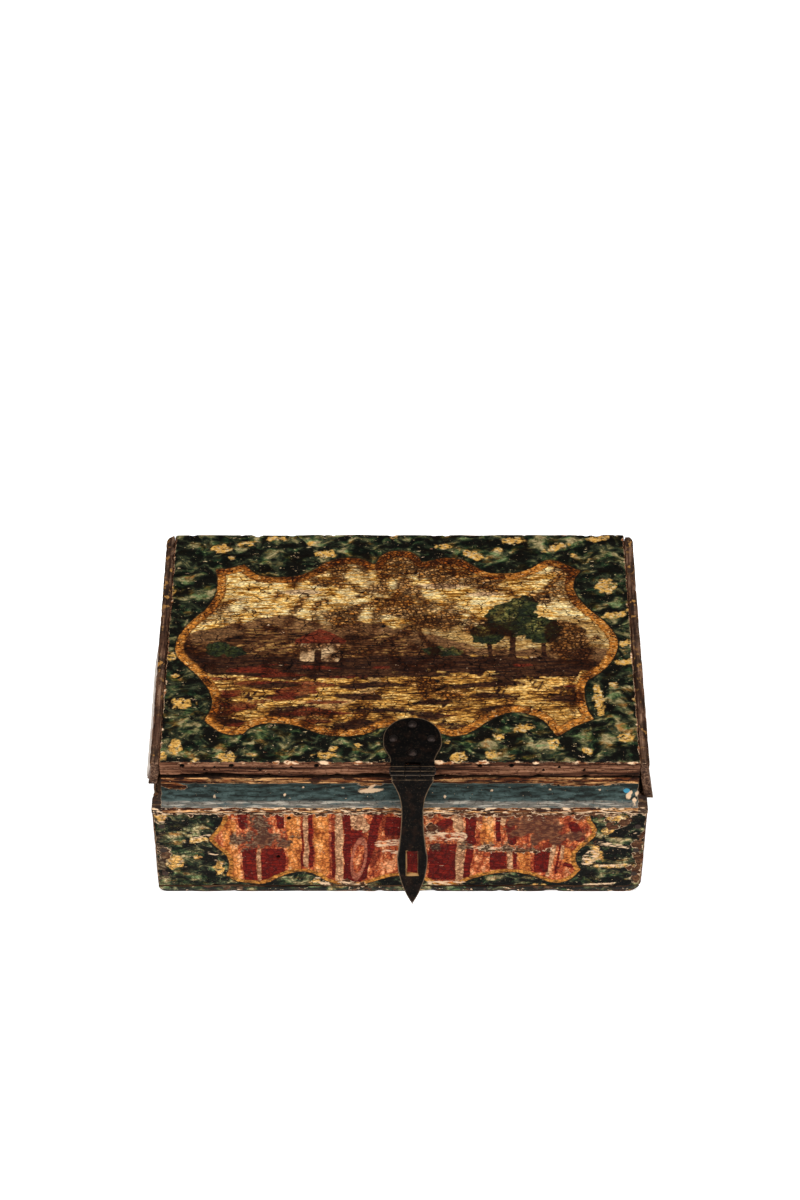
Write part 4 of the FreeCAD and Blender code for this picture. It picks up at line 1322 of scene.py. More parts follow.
# Wear of the moulding as dabs: rubbed places, large flakes and crumbs, and small dots
COVE_RUBS = ((-156, 96, 10, 3.4, -12), (122, 97, 24, 1.8), (-20, 97, 8, 2), (-24, 91.5, 4, 1.4))
COVE_FLAKES = (
    (-20, 91.4, 8, 1.5, 4), (-19, 94.5, 4, 1.0, 40), (157, 88.6, 2.0, 1.5, 30), (158.4, 90.4, 1.2, 1.2),
    (162.6, 89.6, 1.0, 1.6, -20), (160.8, 86.6, 1.4, 0.8),
)
COVE_DOTS = tuple(
    (across, up, 0.9, 0.7)
    for across, up in (
        (-127, 88), (-133, 95), (-79, 89), (-39, 94), (-66, 94), (103, 92), (137, 92), (63, 91.5), (31, 88),
    )
)

# The landscape: crowns, their lit sides and clouds as dabs, and trunks, a fence and tufts as strokes
CROWNS = (
    (80, 33, 19, 17), (101, 22, 14, 13), (62, 19, 12, 11), (88, 47, 11, 9), (-128, 4, 9, 7), (-116, 1, 8, 5),
    (26, 2, 9, 5), (38, 1, 7, 4),
)
LIT_CROWNS = ((74, 38, 9, 8), (97, 26, 7, 6), (58, 22, 6, 5), (84, 50, 6, 5))
CLOUDS = ((30, 66, 20, 3), (-70, 60, 16, 3), (60, 58, 14, 2.4))
TRUNKS = (
    (80, 20, 79, -12, 2.2), (101, 14, 102, -10, 1.7), (63, 12, 64, -9, 1.5), (80, 22, 88, 38, 1.0),
    (80, 22, 72, 34, 1.0),
)
FENCE = (
    (-22, -14, -22, -3, 0.8), (-12, -15, -12, -4, 0.8), (-2, -16, -2, -5, 0.8), (8, -17, 8, -6, 0.8),
    (-26, -7, 12, -10, 0.8), (-26, -11, 12, -14, 0.8),
)
TUFTS = tuple(
    (base + lean, low + 9, base, low, 0.7)
    for base, low in ((70, -42), (96, -36), (30, -52), (112, -46), (-104, -46))
    for lean in (-5.0, -1.0, 4.0)
)


def dab_cover(x: Array, y: Array, dabs: Table) -> Array:
    """Share covered by a set of turned elliptic dabs, with waves in their outlines."""
    ragged = 1.3 * waves(np.stack([x, y], axis=1), 7.0, 93)
    return cover(most(blobs(x, y, dabs)) + ragged, 1.6)


def stroke_cover(x: Array, y: Array, strokes: Table, panels: Table = ()) -> Array:
    """Share covered by brush strokes and broad panels, whose sides waver by less than a millimetre.

    Args:
        x, y: places across and up.
        strokes: two ends and half a width each.
        panels: left, right, bottom and top each.

    Returns:
        The share from 0 to 1.
    """
    wavy = x + 0.7 * waves(np.stack([x, y], axis=1), 22.0, 91)
    shapes = [panel(wavy, y, (row[0], row[2]), (row[1], row[3])) for row in panels]
    return cover(most(bars(wavy, y, strokes) + shapes), 1.2)


@dataclass
class Landscape:
    """A plain country view: hills to the left, a cottage, a path, and a clump of trees to the right."""

    horizon: float = -4.0

    def fields(self, x: Array, y: Array) -> Fields:
        """Works out the share of each colour.

        The hills and the ground are heights over X, and the rest is made of ellipses, bars and rectangles.

        Args:
            x, y: places across and up in mm.

        Returns:
            Shares from 0 to 1 by name.
        """
        place = np.stack([x, y], axis=1)
        ragged = waves(place, 16.0, 101)
        ground = self.horizon + 3.0 * np.sin(x / 34.0) + 1.5 * ragged
        ridge = 20 + 17 * bell(x, -88, 34) + 9 * bell(x, -20, 26)
        ridge = ridge - 16 * smoothstep(10, 70, x) + 2.0 * ragged
        far = 18 + 17 * bell(x, 24, 30) + 19 * bell(x, 122, 30) + 2.5 * ragged
        bank = self.horizon - 9 + 3.0 * np.sin(x / 27.0 + 1.0) + 2.0 * ragged
        dark = np.minimum(y - bank + 9, ground + 2 - y) - 3.0 * smoothstep(-10, 40, x) * (1 + ragged)
        roof = np.minimum(np.minimum(y - 9, 24 - y - 0.62 * np.abs(x + 56)), 18 - np.abs(x + 56))
        wall = panel(x, y, (-70, -8), (-42, 9))
        door = panel(x, y, (-60, -8), (-55, 3))
        lane = -50 + 34 * smoothstep(8, -30, y) - 60 * smoothstep(-26, -74, y)
        wide = 2.5 + 8.0 * smoothstep(-6, -74, y)
        near = 6.0 * smoothstep(-12, -6, y)
        streaks = 3.0 * waves(place * np.array([0.12, 1.0]), 7.0, 103)
        furrow = cover(streaks - 0.4 - 3.0 * smoothstep(-70, 10, x) - near, 1.5)
        soil = cover(3.0 * waves(place * np.array([0.15, 1.0]), 9.0, 104) - 0.6 - near, 2.0)
        lines = bars(x, y, TRUNKS + FENCE + TUFTS)
        clouds = 0.9 * cover(most(blobs(x, y, CLOUDS)), 2.0)
        return {
            "meadow": cover(ground - y),
            "hills": cover(np.minimum(ridge - y, y - ground + 2), 3.0),
            "distant": cover(np.minimum(far - y, y - ground + 2), 3.0),
            "umber": np.maximum(cover(most([dark, door, *lines]), 1.4), 0.9 * soil),
            "leaf": cover(most(blobs(x, y, CROWNS)) + 1.4 * waves(place, 7.0, 102), 2.0),
            "russet": np.maximum(cover(roof, 1.2), furrow),
            "path": cover(np.minimum(wide - np.abs(x - lane), self.horizon - y), 2.0),
            "glow": cover(most([*blobs(x, y, LIT_CROWNS), 6 - np.abs(y - ridge + 5)]), 3.0),
            "pale": np.maximum(cover(np.minimum(wall, -door), 1.2), clouds),
        }


def hole_field(x: Array, y: Array, holes: tuple[Triple, ...]) -> Array:
    """Share that is 1 in the middle of a round hole, half at its rim and 0 a radius outside it."""
    return cover(most([radius - np.hypot(x - hx, y - hy) for hx, hy, radius in holes]), 1.0)


def hole_lines(holes: tuple[Triple, ...], axis: int) -> tuple[float, ...]:
    """Grid lines through the middle and near the rim of each hole."""
    return tuple(hole[axis] + share * hole[2] for hole in holes for share in (-0.85, 0.0, 0.85))


def hole_depth(hole: Array, deepest: float = 2.2) -> Array:
    """Depth of worm holes in mm, from the share that their field gives."""
    return deepest * smoothstep(0.45, 0.8, hole)


# The pieces of the box


@dataclass
class Lid:
    """The lid board and the two cheeks on its ends."""

    half_width: float = 164.0
    front: float = -105.3
    back: float = 117.3
    under: float = 108.5
    top: float = 123.7
    arris: float = 1.5
    corner: float = 8.0
    spacing: float = 1.7
    layout: float = 103.0  # from the front edge to the drawing's zero
    cheek_thickness: float = 6.0
    cheek_foot: float = 85.8
    cheek_end: float = 116.9
    cheek_spacing: Triple = (1.0, 1.5, 1.5)
    cheek_arris: float = 1.1
    toe: float = 3.0  # radius of the foot's front corner
    stiff: float = 10.0  # height at the top that does not bend
    flare: float = 4.5  # how far the right cheek's front foot bends out
    splay: float = 5.5  # how far the left cheek's foot is sprung out
    pale_share: float = 0.22  # usual share of pale streaks
    pivot: Pair = (108.5, 94.6)  # Y and Z
    pivot_inset: float = 8.8  # radius of the foot about the pivot
    heel: Triple = (104.0, 3.5, 1.7)  # level, spread and depth of the hollow at the back end
    top_holes: tuple[Triple, ...] = ((-11.5, 24.2, 1.6), (26.5, -28.8, 1.6))
    edge_holes: tuple[Triple, ...] = (
        (-114.5, 120.4, 1.7), (-56.5, 120.4, 1.7), (-126, 118.6, 1.2), (-73.8, 118.6, 1.2),
        (-133, 115.6, 1.2), (54.5, 120.4, 1.7), (108.5, 118.6, 1.2), (97.8, 115.6, 1.2), (125.5, 115.6, 1.2),
        (-95, 115.6, 1.2), (76, 120.4, 1.7), (-148, 120.4, 1.7),
    )

    def build(self) -> None:
        """Makes the three boards and lets them ride on the lid's body."""
        self.build_board()
        colours = ("#24130A", "#4E3425", "#84654F")
        # The cheeks' pale grey streaks also make the painted highlight on the left cheek's outer face.
        wood = AgedWood("worn_cheek_softwood", *colours, (2.4, 60.0, 2.4), pale_streaks_and_glare="#CFC4BA").material()
        for side in Side:
            self.build_cheek(side, wood)

    def build_board(self) -> None:
        """Makes the lid board: a block with worn edges, rounded back corners, chips and worm holes."""
        low = np.array([-self.half_width, self.front, self.under])
        high = np.array([self.half_width, self.back, self.top])
        xs = ticks(low[0], high[0], self.spacing, self.arris, hole_lines(self.top_holes + self.edge_holes, 0))
        ys = ticks(low[1], high[1], self.spacing, self.arris, hole_lines(self.top_holes, 1))
        zs = ticks(low[2], high[2], self.spacing, self.arris, hole_lines(self.edge_holes, 1))
        flat, faces = shell(xs, ys, zs)
        radius = self.arris * (1 + 0.5 * waves(flat, 26.0, 1))
        points, outward = rounded(flat, low, high, radius)
        border = edge_distance(flat, low, high)
        near = bell(border, 0.0, 2.2)
        depth = 0.1 + 0.1 * waves(flat, 55.0, 2) + near * np.clip(waves(flat, 8.0, 3) - 0.3, 0, 1) * 2.0
        on_top = flat[:, 2] >= self.top
        on_front = flat[:, 1] <= self.front
        hole = np.where(on_top, hole_field(flat[:, 0], flat[:, 1], self.top_holes), 0.0)
        hole = np.maximum(hole, np.where(on_front, hole_field(flat[:, 0], flat[:, 2], self.edge_holes), 0.0))
        points -= outward * (depth + hole_depth(hole))[:, None]
        for sign in (-1, 1):
            corner = (sign * (self.half_width + self.cheek_thickness), self.back)
            points = soften_corner(points, (0, 1), corner, (-sign, -1), self.corner)
        points[:, 2] += self.undercut(flat)
        grooves = 0.35 * waves(flat * np.array([0.04, 0.0, 1.0]), 3.4, 6) + 0.3 * waves(flat, 12.0, 7)
        points[:, 1] += np.where(on_front, np.clip(grooves, 0, None), 0.0)
        x, y = flat[:, 0], flat[:, 1] - self.front - self.layout
        fields = {
            "cartouche": np.where(on_top, outline_distance(x, y, LID_FRAME), FAR),
            "rim": np.where(on_top, border, flat[:, 2] - self.top),
            "arris": self.chipped(flat),
            "ochre": dab_cover(x, y, LID_OCHRE_DABS),
            "khaki": dab_cover(x, y, LID_KHAKI_DABS),
            "hole": hole,
            "dirt": self.dirt(x, y),
            **Landscape().fields(x, y),
        }
        board = add_piece("lid_board_painted", points, faces, fields, LidPainting().material())
        place_piece(board, "lid", "painted_lid", "lid_board")

    def undercut(self, flat: Array) -> Array:
        """Rise of the worn lower front edge: most near the left end and behind the hasp, fading up and back.

        Args:
            flat: points of the plain block.

        Returns:
            The rise in mm for each point.
        """
        x = flat[:, 0]
        rise = 1.2 + 3.2 * bell(x, -126, 34) + 2.6 * bell(x, -6, 44) - 0.6 * smoothstep(60, 110, x)
        rise = rise + 0.7 * waves(flat * np.array([1.0, 0.0, 0.0]), 17.0, 8)
        low = np.clip(1 - (flat[:, 2] - self.under) / 7.0, 0, 1)
        return np.clip(rise, 0.2, None) * low * smoothstep(self.front + 16, self.front + 3, flat[:, 1])

    def chipped(self, flat: Array) -> Array:
        """Share of gesso laid bare along the top edge: most at the front, in flecks at the sides.

        It falls off as a bell with the distance to the edge, and waves along the edge break it up.

        Args:
            flat: points of the plain block.

        Returns:
            The share for each point.
        """
        front = np.hypot(flat[:, 1] - self.front, flat[:, 2] - self.top)
        side = np.hypot(self.half_width - np.abs(flat[:, 0]), flat[:, 2] - self.top)
        broken = 0.24 + 0.65 * waves(flat[:, :2], 19.0, 4) + 0.4 * waves(flat[:, :2], 6.0, 10)
        return np.maximum(bell(front, 0.0, 2.6), 0.9 * bell(side, 1.0, 1.8)) * broken

    def dirt(self, x: Array, y: Array) -> Array:
        """Share of soot in the varnish: uneven clouds, most over the middle and along the top of the picture.

        Args:
            x, y: places across and up.

        Returns:
            The share for each place.
        """
        place = np.stack([x, y], axis=1)
        pushed = place + 9.0 * np.stack([waves(place, 40.0, 21), waves(place, 40.0, 22)], axis=1)
        clouds = 0.55 * waves(pushed * np.array([0.7, 1.0]), 46.0, 5) + 0.35 * waves(pushed, 17.0, 9)
        heavy = bell(x, 4, 60) * bell(y, 46, 46) + smoothstep(70, 94, y)
        return np.clip(0.1 + 0.72 * heavy + 1.3 * clouds, 0, 1)

    def build_cheek(self, side: Side, wood: Material) -> None:
        """Makes one cheek: a strip with a foot rounded at the back, the left one broken and sprung out.

        Args:
            side: the end that it is on.
            wood: its finish.
        """
        sign = side.value
        low = np.array([0.0, self.front, self.cheek_foot])
        high = np.array([self.cheek_thickness, self.cheek_end, self.top])
        lines = [ticks(low[k], high[k], self.cheek_spacing[k], self.cheek_arris) for k in range(3)]
        flat, faces = shell(*lines)
        radius = self.cheek_arris * (1 + 0.6 * waves(flat, 20.0, 11 + sign))
        points, outward = rounded(flat, low, high, radius)
        near = bell(edge_distance(flat, low, high), 0.0, 2.0)
        chips = near * np.clip(waves(flat, 9.0, 13 + sign) - 0.3, 0, 1) * 1.5
        points -= outward * (0.1 + 0.1 * waves(flat, 40.0, 15 + sign) + chips)[:, None]
        y, z = points[:, 1], points[:, 2]
        behind = np.clip(y - self.pivot[0], 0, self.pivot_inset)
        foot = self.pivot[1] - np.sqrt(self.pivot_inset**2 - behind**2)
        ahead = np.clip(self.front + self.toe - y, 0, self.toe)
        foot = foot + self.toe - np.sqrt(self.toe**2 - ahead**2)
        swing = self.flare * smoothstep(-20, self.front, y)
        pale_streaks_and_glare = np.full(len(flat), self.pale_share)
        if side is Side.LEFT:
            ragged = 2.5 * waves(flat[:, 1:2], 7.0, 17)
            foot = foot + (15 + ragged) * smoothstep(-84, -101, y)
            swing = self.splay * smoothstep(self.pivot[0], 10, y)
            # Painted highlight: the left cheek's outer face turns pale grey towards its front, partly
            # bleached wood and partly the glare of the left light
            pale_streaks_and_glare = self.pale_share + 0.36 * smoothstep(70, -10, y) * smoothstep(-102, -84, y)
        share = (z - self.cheek_foot) / (self.top - self.cheek_foot)
        points[:, 2] = foot + share * (self.top - foot)
        level, spread, hollow = self.heel
        points[:, 1] -= hollow * bell(points[:, 2], level, spread) * smoothstep(105, self.cheek_end, y)
        root = self.top - self.stiff
        bend = np.clip((root - points[:, 2]) / (root - self.cheek_foot), 0, 1) ** 1.2
        points[:, 0] = sign * (self.half_width + points[:, 0] + bend * swing)
        reach = self.corner * smoothstep(101.5, 113.5, points[:, 2])
        corner = (sign * (self.half_width + self.cheek_thickness), self.back)
        points = soften_corner(points, (0, 1), corner, (-sign, -1), reach)
        outer = (flat[:, 0] >= self.cheek_thickness) & (flat[:, 2] < self.top - 3)
        soiled = 0.42 + 0.14 * smoothstep(-60, 80, y) + 0.2 * waves(flat, 22.0, 19 + sign)
        fields = {
            "hole": np.zeros(len(flat)),
            "flake": np.where(outer, pale_streaks_and_glare, 0.1),
            "grime": np.where(flat[:, 2] >= self.top, soiled, 0.0),
        }
        if sign < 0:
            faces = faces[:, ::-1]
        cheek = add_piece(f"{side.name.lower()}_cheek_worn", points, faces, fields, wood)
        place_piece(cheek, "lid", "worn_cheek", f"{side.name.lower()}_cheek")


@dataclass
class Case:
    """The bottom board and the four walls."""

    half_width: float = 170.0
    front: float = -117.3
    back: float = 117.3
    floor: float = 6.0
    front_thickness: float = 20.0
    side_thickness: float = 12.0
    back_thickness: float = 12.0
    ledge: float = 85.3
    seat: float = 108.2
    rebate: float = 6.4
    turn: Triple = (108.5, 94.6, 13.6)  # Y and Z of the pivot, and radius of the walls' arc about it
    spacing: float = 1.2
    layout: float = 4.5  # height of the drawing's zero
    flaked_top: float = 79.6  # where the flaked and the rubbed band under the lip start, in the drawing
    rubbed_top: float = 79.3
    front_holes: tuple[Triple, ...] = ((-76, 79.5, 1.8), (-84.5, 38.5, 1.5), (-30.5, 70.5, 0.8))

    def build(self) -> None:
        """Makes the five boards and lets them ride on the case's body."""
        self.build_front()
        plain = AgedWood("bare_aged_softwood", "#2E1D11", "#5C412C", "#806247").material()
        self.build_bottom()
        self.build_back(plain)
        paint = SidePainting().material()
        for side in Side:
            self.build_side(side, paint)

    def worn(self, points: Array) -> Array:
        """Rounds the box's lower side edges: most at the front right corner, less towards the back.

        Args:
            points: points to move.

        Returns:
            Moved points.
        """
        forward = smoothstep(-20, self.front, points[:, 1])
        right = soften_corner(points, (0, 2), (self.half_width, 0.0), (-1, 1), 3.0 + 8.5 * forward)
        return soften_corner(right, (0, 2), (-self.half_width, 0.0), (1, 1), 2.5 + 3.5 * forward)

    def board(
        self,
        low: Array,
        high: Array,
        spacing: float,
        seed: int,
        extra: Table = ((), (), ()),
        arris: float = 2.2,
    ) -> tuple[Array, Array, Array, Array]:
        """Makes a block with worn edges, slight waves and chips.

        Args:
            low: least corner.
            high: greatest corner.
            spacing: distance of the grid lines in mm.
            seed: picks the waves.
            extra: more grid lines along each axis.
            arris: usual radius of the edges.

        Returns:
            Flat points, shaped points, outward directions and faces.
        """
        lines = [ticks(low[k], high[k], spacing, arris, extra[k]) for k in range(3)]
        flat, faces = shell(*lines)
        points, outward = rounded(flat, low, high, arris * (1 + 0.45 * waves(flat, 28.0, seed)))
        near = bell(edge_distance(flat, low, high), 0.0, 2.5)
        depth = 0.1 + 0.1 * waves(flat, 60.0, seed + 1)
        depth += near * np.clip(waves(flat, 9.0, seed + 2) - 0.35, 0, 1) * 1.5
        return flat, points - outward * depth[:, None], outward, faces

    def build_front(self) -> None:
        """Makes the front board with its painted panel."""
        low = np.array([-self.half_width, self.front, self.floor])
        high = np.array([self.half_width, self.front + self.front_thickness, self.ledge])
        extra = (hole_lines(self.front_holes, 0), (), hole_lines(self.front_holes, 1))
        flat, points, outward, faces = self.board(low, high, self.spacing, seed=21, extra=extra)
        ahead = flat[:, 1] <= self.front
        x, z = flat[:, 0], flat[:, 2]
        hole = np.where(ahead, hole_field(x, z, self.front_holes), 0.0)
        points -= outward * hole_depth(hole)[:, None]
        points = self.worn(points)
        sides = self.half_width - np.abs(x)
        rim = np.where(ahead, np.minimum(sides, 3.0 + z - self.floor), self.front - flat[:, 1])
        z = z - self.layout
        fields = {
            "cartouche": np.where(ahead, outline_distance(x, z, FRONT_FRAME), FAR),
            "rim": rim,
            "crimson": stroke_cover(x, z, CRIMSON_STROKES, CRIMSON_PANELS),
            "cream": stroke_cover(x, z, CREAM_STROKES),
            "orange": stroke_cover(x, z, ORANGE_STROKES),
            "rose": cover(0.9 - np.abs(blob(x, z, (-28.5, 32), (4.6, 20), -6)), 0.9),
            "grey": self.smear(x, z, FRONT_SOOT),
            "brown": self.smear(x, z, FRONT_STAIN),
            "ochre": dab_cover(x, z, FRONT_OCHRE_DABS),
            "khaki": dab_cover(x, z, FRONT_KHAKI_DABS),
            "loss": np.where(ahead, self.front_loss(x, z), 1.0),
            "flake": np.where(ahead, self.front_flakes(x, z), 0.0),
            "hole": hole,
        }
        board = add_piece("front_board_painted", points, faces, fields, FrontPainting().material())
        place_piece(board, "case", "painted_front", "front_board")

    def front_loss(self, x: Array, z: Array) -> Array:
        """Share of the front rubbed to the wood: the top band and a few streaks.

        Args:
            x, z: places across and up.

        Returns:
            The share for each place.
        """
        shapes = bars(x, z, FRONT_RUBS) + blobs(x, z, FRONT_RUB_DABS)
        place = np.stack([x, z], axis=1)
        ragged = 2.6 * waves(place, 11.0, 31) + 1.6 * waves(place, 4.0, 32)
        return cover(most([*shapes, z - self.rubbed_top]) + ragged, 3.4)

    def smear(self, x: Array, z: Array, spots: Table) -> Array:
        """Share of a soft stain: ellipses that fade over some 10 mm, with waves in their outlines.

        Args:
            x, z: places across and up.
            spots: the ellipses.

        Returns:
            The share for each place.
        """
        place = np.stack([x, z], axis=1)
        ragged = 4.0 * waves(place, 14.0, 33) + 2.0 * waves(place, 5.0, 34)
        return smoothstep(-8, 6, most(blobs(x, z, spots)) + ragged)

    def front_flakes(self, x: Array, z: Array) -> Array:
        """Share of the front flaked to gesso: under the lip, in streaks at the right and beside the hasp."""
        shapes = bars(x, z, FRONT_FLAKES) + blobs(x, z, FRONT_FLAKE_DABS)
        return cover(most([*shapes, z - self.flaked_top]), 1.4)

    def build_bottom(self) -> None:
        """Makes the bottom board, with the front's paint carried over its edge."""
        low = np.array([-self.half_width, self.front, 0.0])
        high = np.array([self.half_width, self.back, self.floor])
        flat, points, _, faces = self.board(low, high, spacing=2.2, seed=41, arris=1.1)
        points[:, 2] = np.maximum(points[:, 2], 0.0)
        points = self.worn(points)
        painted = np.where(flat[:, 1] <= self.front, 1.1 * flat[:, 2] - 0.6, BARE)
        none = np.zeros(len(flat))
        wood = AgedWood("bottom_wood", "#1F100A", "#4A2F20", "#7A5A42")
        ground = Marbling(dab=(17.0, 7.0, 7.0))
        paint = SidePainting("rubbed_marbled_paint_on_bottom_board", wood, ground).material()
        fields = {"rim": painted, "ochre": none, "khaki": none}
        board = add_piece("bottom_board_worn", points, faces, fields, paint)
        place_piece(board, "case", "plain_board", "bottom_board")

    def turned(self, points: Array) -> Array:
        """Lowers the tops of walls behind the pivot onto an arc about it, so that the lid turns clear.

        Args:
            points: points to move.

        Returns:
            Moved points.
        """
        moved = points.copy()
        behind = np.clip(points[:, 1] - self.turn[0], 0, self.turn[2] - 1.0)
        arc = self.turn[1] + np.sqrt(self.turn[2] ** 2 - behind**2)
        share = np.clip((points[:, 2] - self.ledge) / (self.seat - self.ledge), 0, 1)
        moved[:, 2] -= share * (self.seat - np.minimum(arc, self.seat))
        return moved

    def build_back(self, plain: Material) -> None:
        """Makes the back board, with its top turned for the lid.

        Args:
            plain: its finish.
        """
        inner = self.half_width - self.side_thickness
        low = np.array([-inner, self.back - self.back_thickness, self.floor])
        high = np.array([inner, self.back, self.seat])
        flat, points, _, faces = self.board(low, high, spacing=2.0, seed=51)
        none = np.zeros(len(flat))
        board = add_piece("back_board_worn", self.turned(points), faces, {"hole": none, "flake": none}, plain)
        place_piece(board, "case", "plain_board", "back_board")

    def build_side(self, side: Side, paint: Material) -> None:
        """Makes one side board, stepped in above the ledge where the cheek hangs.

        Args:
            side: the end that it is on.
            paint: its finish.
        """
        sign = side.value
        low = np.array([0.0, self.front + self.front_thickness, self.floor])
        high = np.array([self.side_thickness, self.back, self.seat])
        steps = (self.ledge - 0.3, self.ledge - 0.1, self.ledge + 0.1)
        flat, points, _, faces = self.board(low, high, spacing=1.5, seed=61 + sign, extra=((), (), steps))
        inset = self.rebate * smoothstep(self.ledge - 0.25, self.ledge + 0.05, flat[:, 2])
        depth = inset + points[:, 0] * (self.side_thickness - inset) / self.side_thickness
        points[:, 0] = sign * (self.half_width - depth)
        points = self.worn(self.turned(points))
        outer = (flat[:, 0] <= 0) & (flat[:, 2] < self.ledge)
        ends = np.minimum(flat[:, 1] - low[1] + 1.5, high[1] - flat[:, 1])
        border = np.minimum(ends, np.minimum(flat[:, 2] - low[2] + 2.0, self.ledge - flat[:, 2]))
        fields = {
            "rim": np.where(outer, border, BARE),
            "ochre": cover(4.0 * waves(flat, 17.0, 63 + sign) - 2.4, 1.0),
            "khaki": cover(4.0 * waves(flat, 21.0, 65 + sign) - 1.8, 1.0),
        }
        if sign > 0:
            faces = faces[:, ::-1]
        board = add_piece(f"{side.name.lower()}_side_board_painted", points, faces, fields, paint)
        place_piece(board, "case", "painted_side", f"{side.name.lower()}_side_board")


@dataclass
class Moulding:
    """The blue strip on the front board: a lip, a cove and an upright fillet, with returned ends."""

    half_width: float = 170.0
    upper_half: float = 163.6
    front: float = -117.3
    back: float = -97.3
    foot: float = 85.3
    lip: float = 90.3
    bead: float = 1.4  # radius of the lip's upper edge
    cove_radius: float = 10.08
    cove_top: float = 99.9
    fillet_y: float = -105.3
    top: float = 107.3
    top_edge: float = 0.7
    spacing: float = 1.3
    bare_end: float = 163.4  # paint is gone beyond this, to both sides
    notch_y: float = -105.7  # the ends are cut back behind this
    layout: float = 4.5  # height of the drawing's zero
    beyond: float = 60.0  # stored in place of the climb, off the front line
    holes: tuple[Triple, ...] = ((108.5, 100.0, 1.1), (-30, 88.5, 0.8))

    def profile(self) -> Array:
        """Front line of the section, from foot to top: upright, a rounded lip, the cove's arc, upright.

        Returns:
            Y and Z of its points in mm.
        """
        nose = np.linspace(0, math.pi / 2, 6)
        lip_y = self.front + self.bead - self.bead * np.cos(nose)
        lip = np.stack([lip_y, self.lip - self.bead + self.bead * np.sin(nose)], axis=1)
        sweep = np.linspace(-math.asin((self.cove_top - self.lip) / self.cove_radius), 0, 16)
        cove_y = self.fillet_y - self.cove_radius + self.cove_radius * np.cos(sweep)
        cove = np.stack([cove_y, self.cove_top + self.cove_radius * np.sin(sweep)], axis=1)
        fillet_z = np.linspace(self.cove_top, self.top - self.top_edge, 6)
        upright = np.stack([np.full(6, self.fillet_y), fillet_z], axis=1)[1:]
        foot_z = np.linspace(self.foot, self.lip - self.bead, 4)
        start = np.stack([np.full(4, self.front), foot_z], axis=1)[:-1]
        end = np.array([[self.fillet_y + 0.2, self.top - 0.2], [self.fillet_y + self.top_edge, self.top]])
        return np.concatenate([start, lip, cove, upright, end])

    def build(self) -> None:
        """Makes the strip: the section's front line ruled to its upright back and carried along X."""
        line = self.profile()
        steps = np.arange(len(line), dtype=float)
        through = tuple(hole[0] / self.half_width for hole in self.holes)
        along = ticks(-1.0, 1.0, self.spacing / self.half_width, 0.008, through)
        deep = np.array([0.0, 0.1, 0.25, 0.4, 0.5, 0.56, 0.6, 0.7, 0.85, 1.0])
        flat, faces = shell(along, deep, steps)
        number = flat[:, 2].astype(int)
        share = flat[:, 1]
        y = line[number, 0] * (1 - share) + self.back * share
        back_z = self.foot + (self.top - self.foot) * flat[:, 2] / steps[-1]
        z = line[number, 1] * (1 - share) + back_z * share
        proud = (self.fillet_y - line[number, 0]) / (self.fillet_y - self.front)
        reach = (self.half_width - self.upper_half) * proud
        reach = reach * smoothstep(self.notch_y + 0.1, self.notch_y - 0.5, y)
        x = flat[:, 0] * (self.upper_half + reach)
        points = np.stack([x, y, z], axis=1)
        ahead = share <= 0
        worn = 0.12 + 0.12 * waves(points, 45.0, 71) + 0.8 * np.clip(waves(points, 10.0, 72) - 0.55, 0, 1)
        hole = np.where(ahead, hole_field(x, z, self.holes), 0.0)
        points[:, 1] += np.where(ahead, worn + hole_depth(hole, 2.0), 0.0)
        climb = np.concatenate([[0.0], np.cumsum(np.linalg.norm(np.diff(line, axis=0), axis=1))])[number]
        z = z - self.layout
        fields = {
            "climb": np.where(ahead, climb, self.beyond),
            "low": np.where(ahead, -climb, -self.beyond),
            "loss": self.loss(x, z),
            # The ends field marks the painted shade: every face off the front line, and the front beyond the
            # bare ends
            "ends": np.where(share > 0.02, 1.0, cover(np.abs(x) - self.bare_end + 0.2, 0.8)),
            "flake": np.where(ahead, self.flakes(x, z), 0.0),
            "bright": cover(blob(x, z, (155.5, 91.5), (2.2, 1.6)), 0.8),
            "hole": hole,
        }
        strip = add_piece("cove_moulding_worn", points, faces, fields, CoveBlue().material())
        place_piece(strip, "case", "blue_moulding", "cove_moulding")

    def loss(self, x: Array, z: Array) -> Array:
        """Share rubbed to the wood: the two ends and a few places along the top of the cove."""
        return cover(most([*blobs(x, z, COVE_RUBS), np.abs(x) - self.bare_end]), 1.6)

    def flakes(self, x: Array, z: Array) -> Array:
        """Share flaked to gesso: one large flake left of the hasp, crumbs at the right end and small dots."""
        return cover(most(blobs(x, z, COVE_FLAKES + COVE_DOTS)), 0.7)


def arc_radius(run: float, rise: float) -> float:
    """Radius of an arc that starts level and rises over a run: (run^2 + rise^2) / (2 rise)."""
    return (run**2 + rise**2) / (2 * rise)


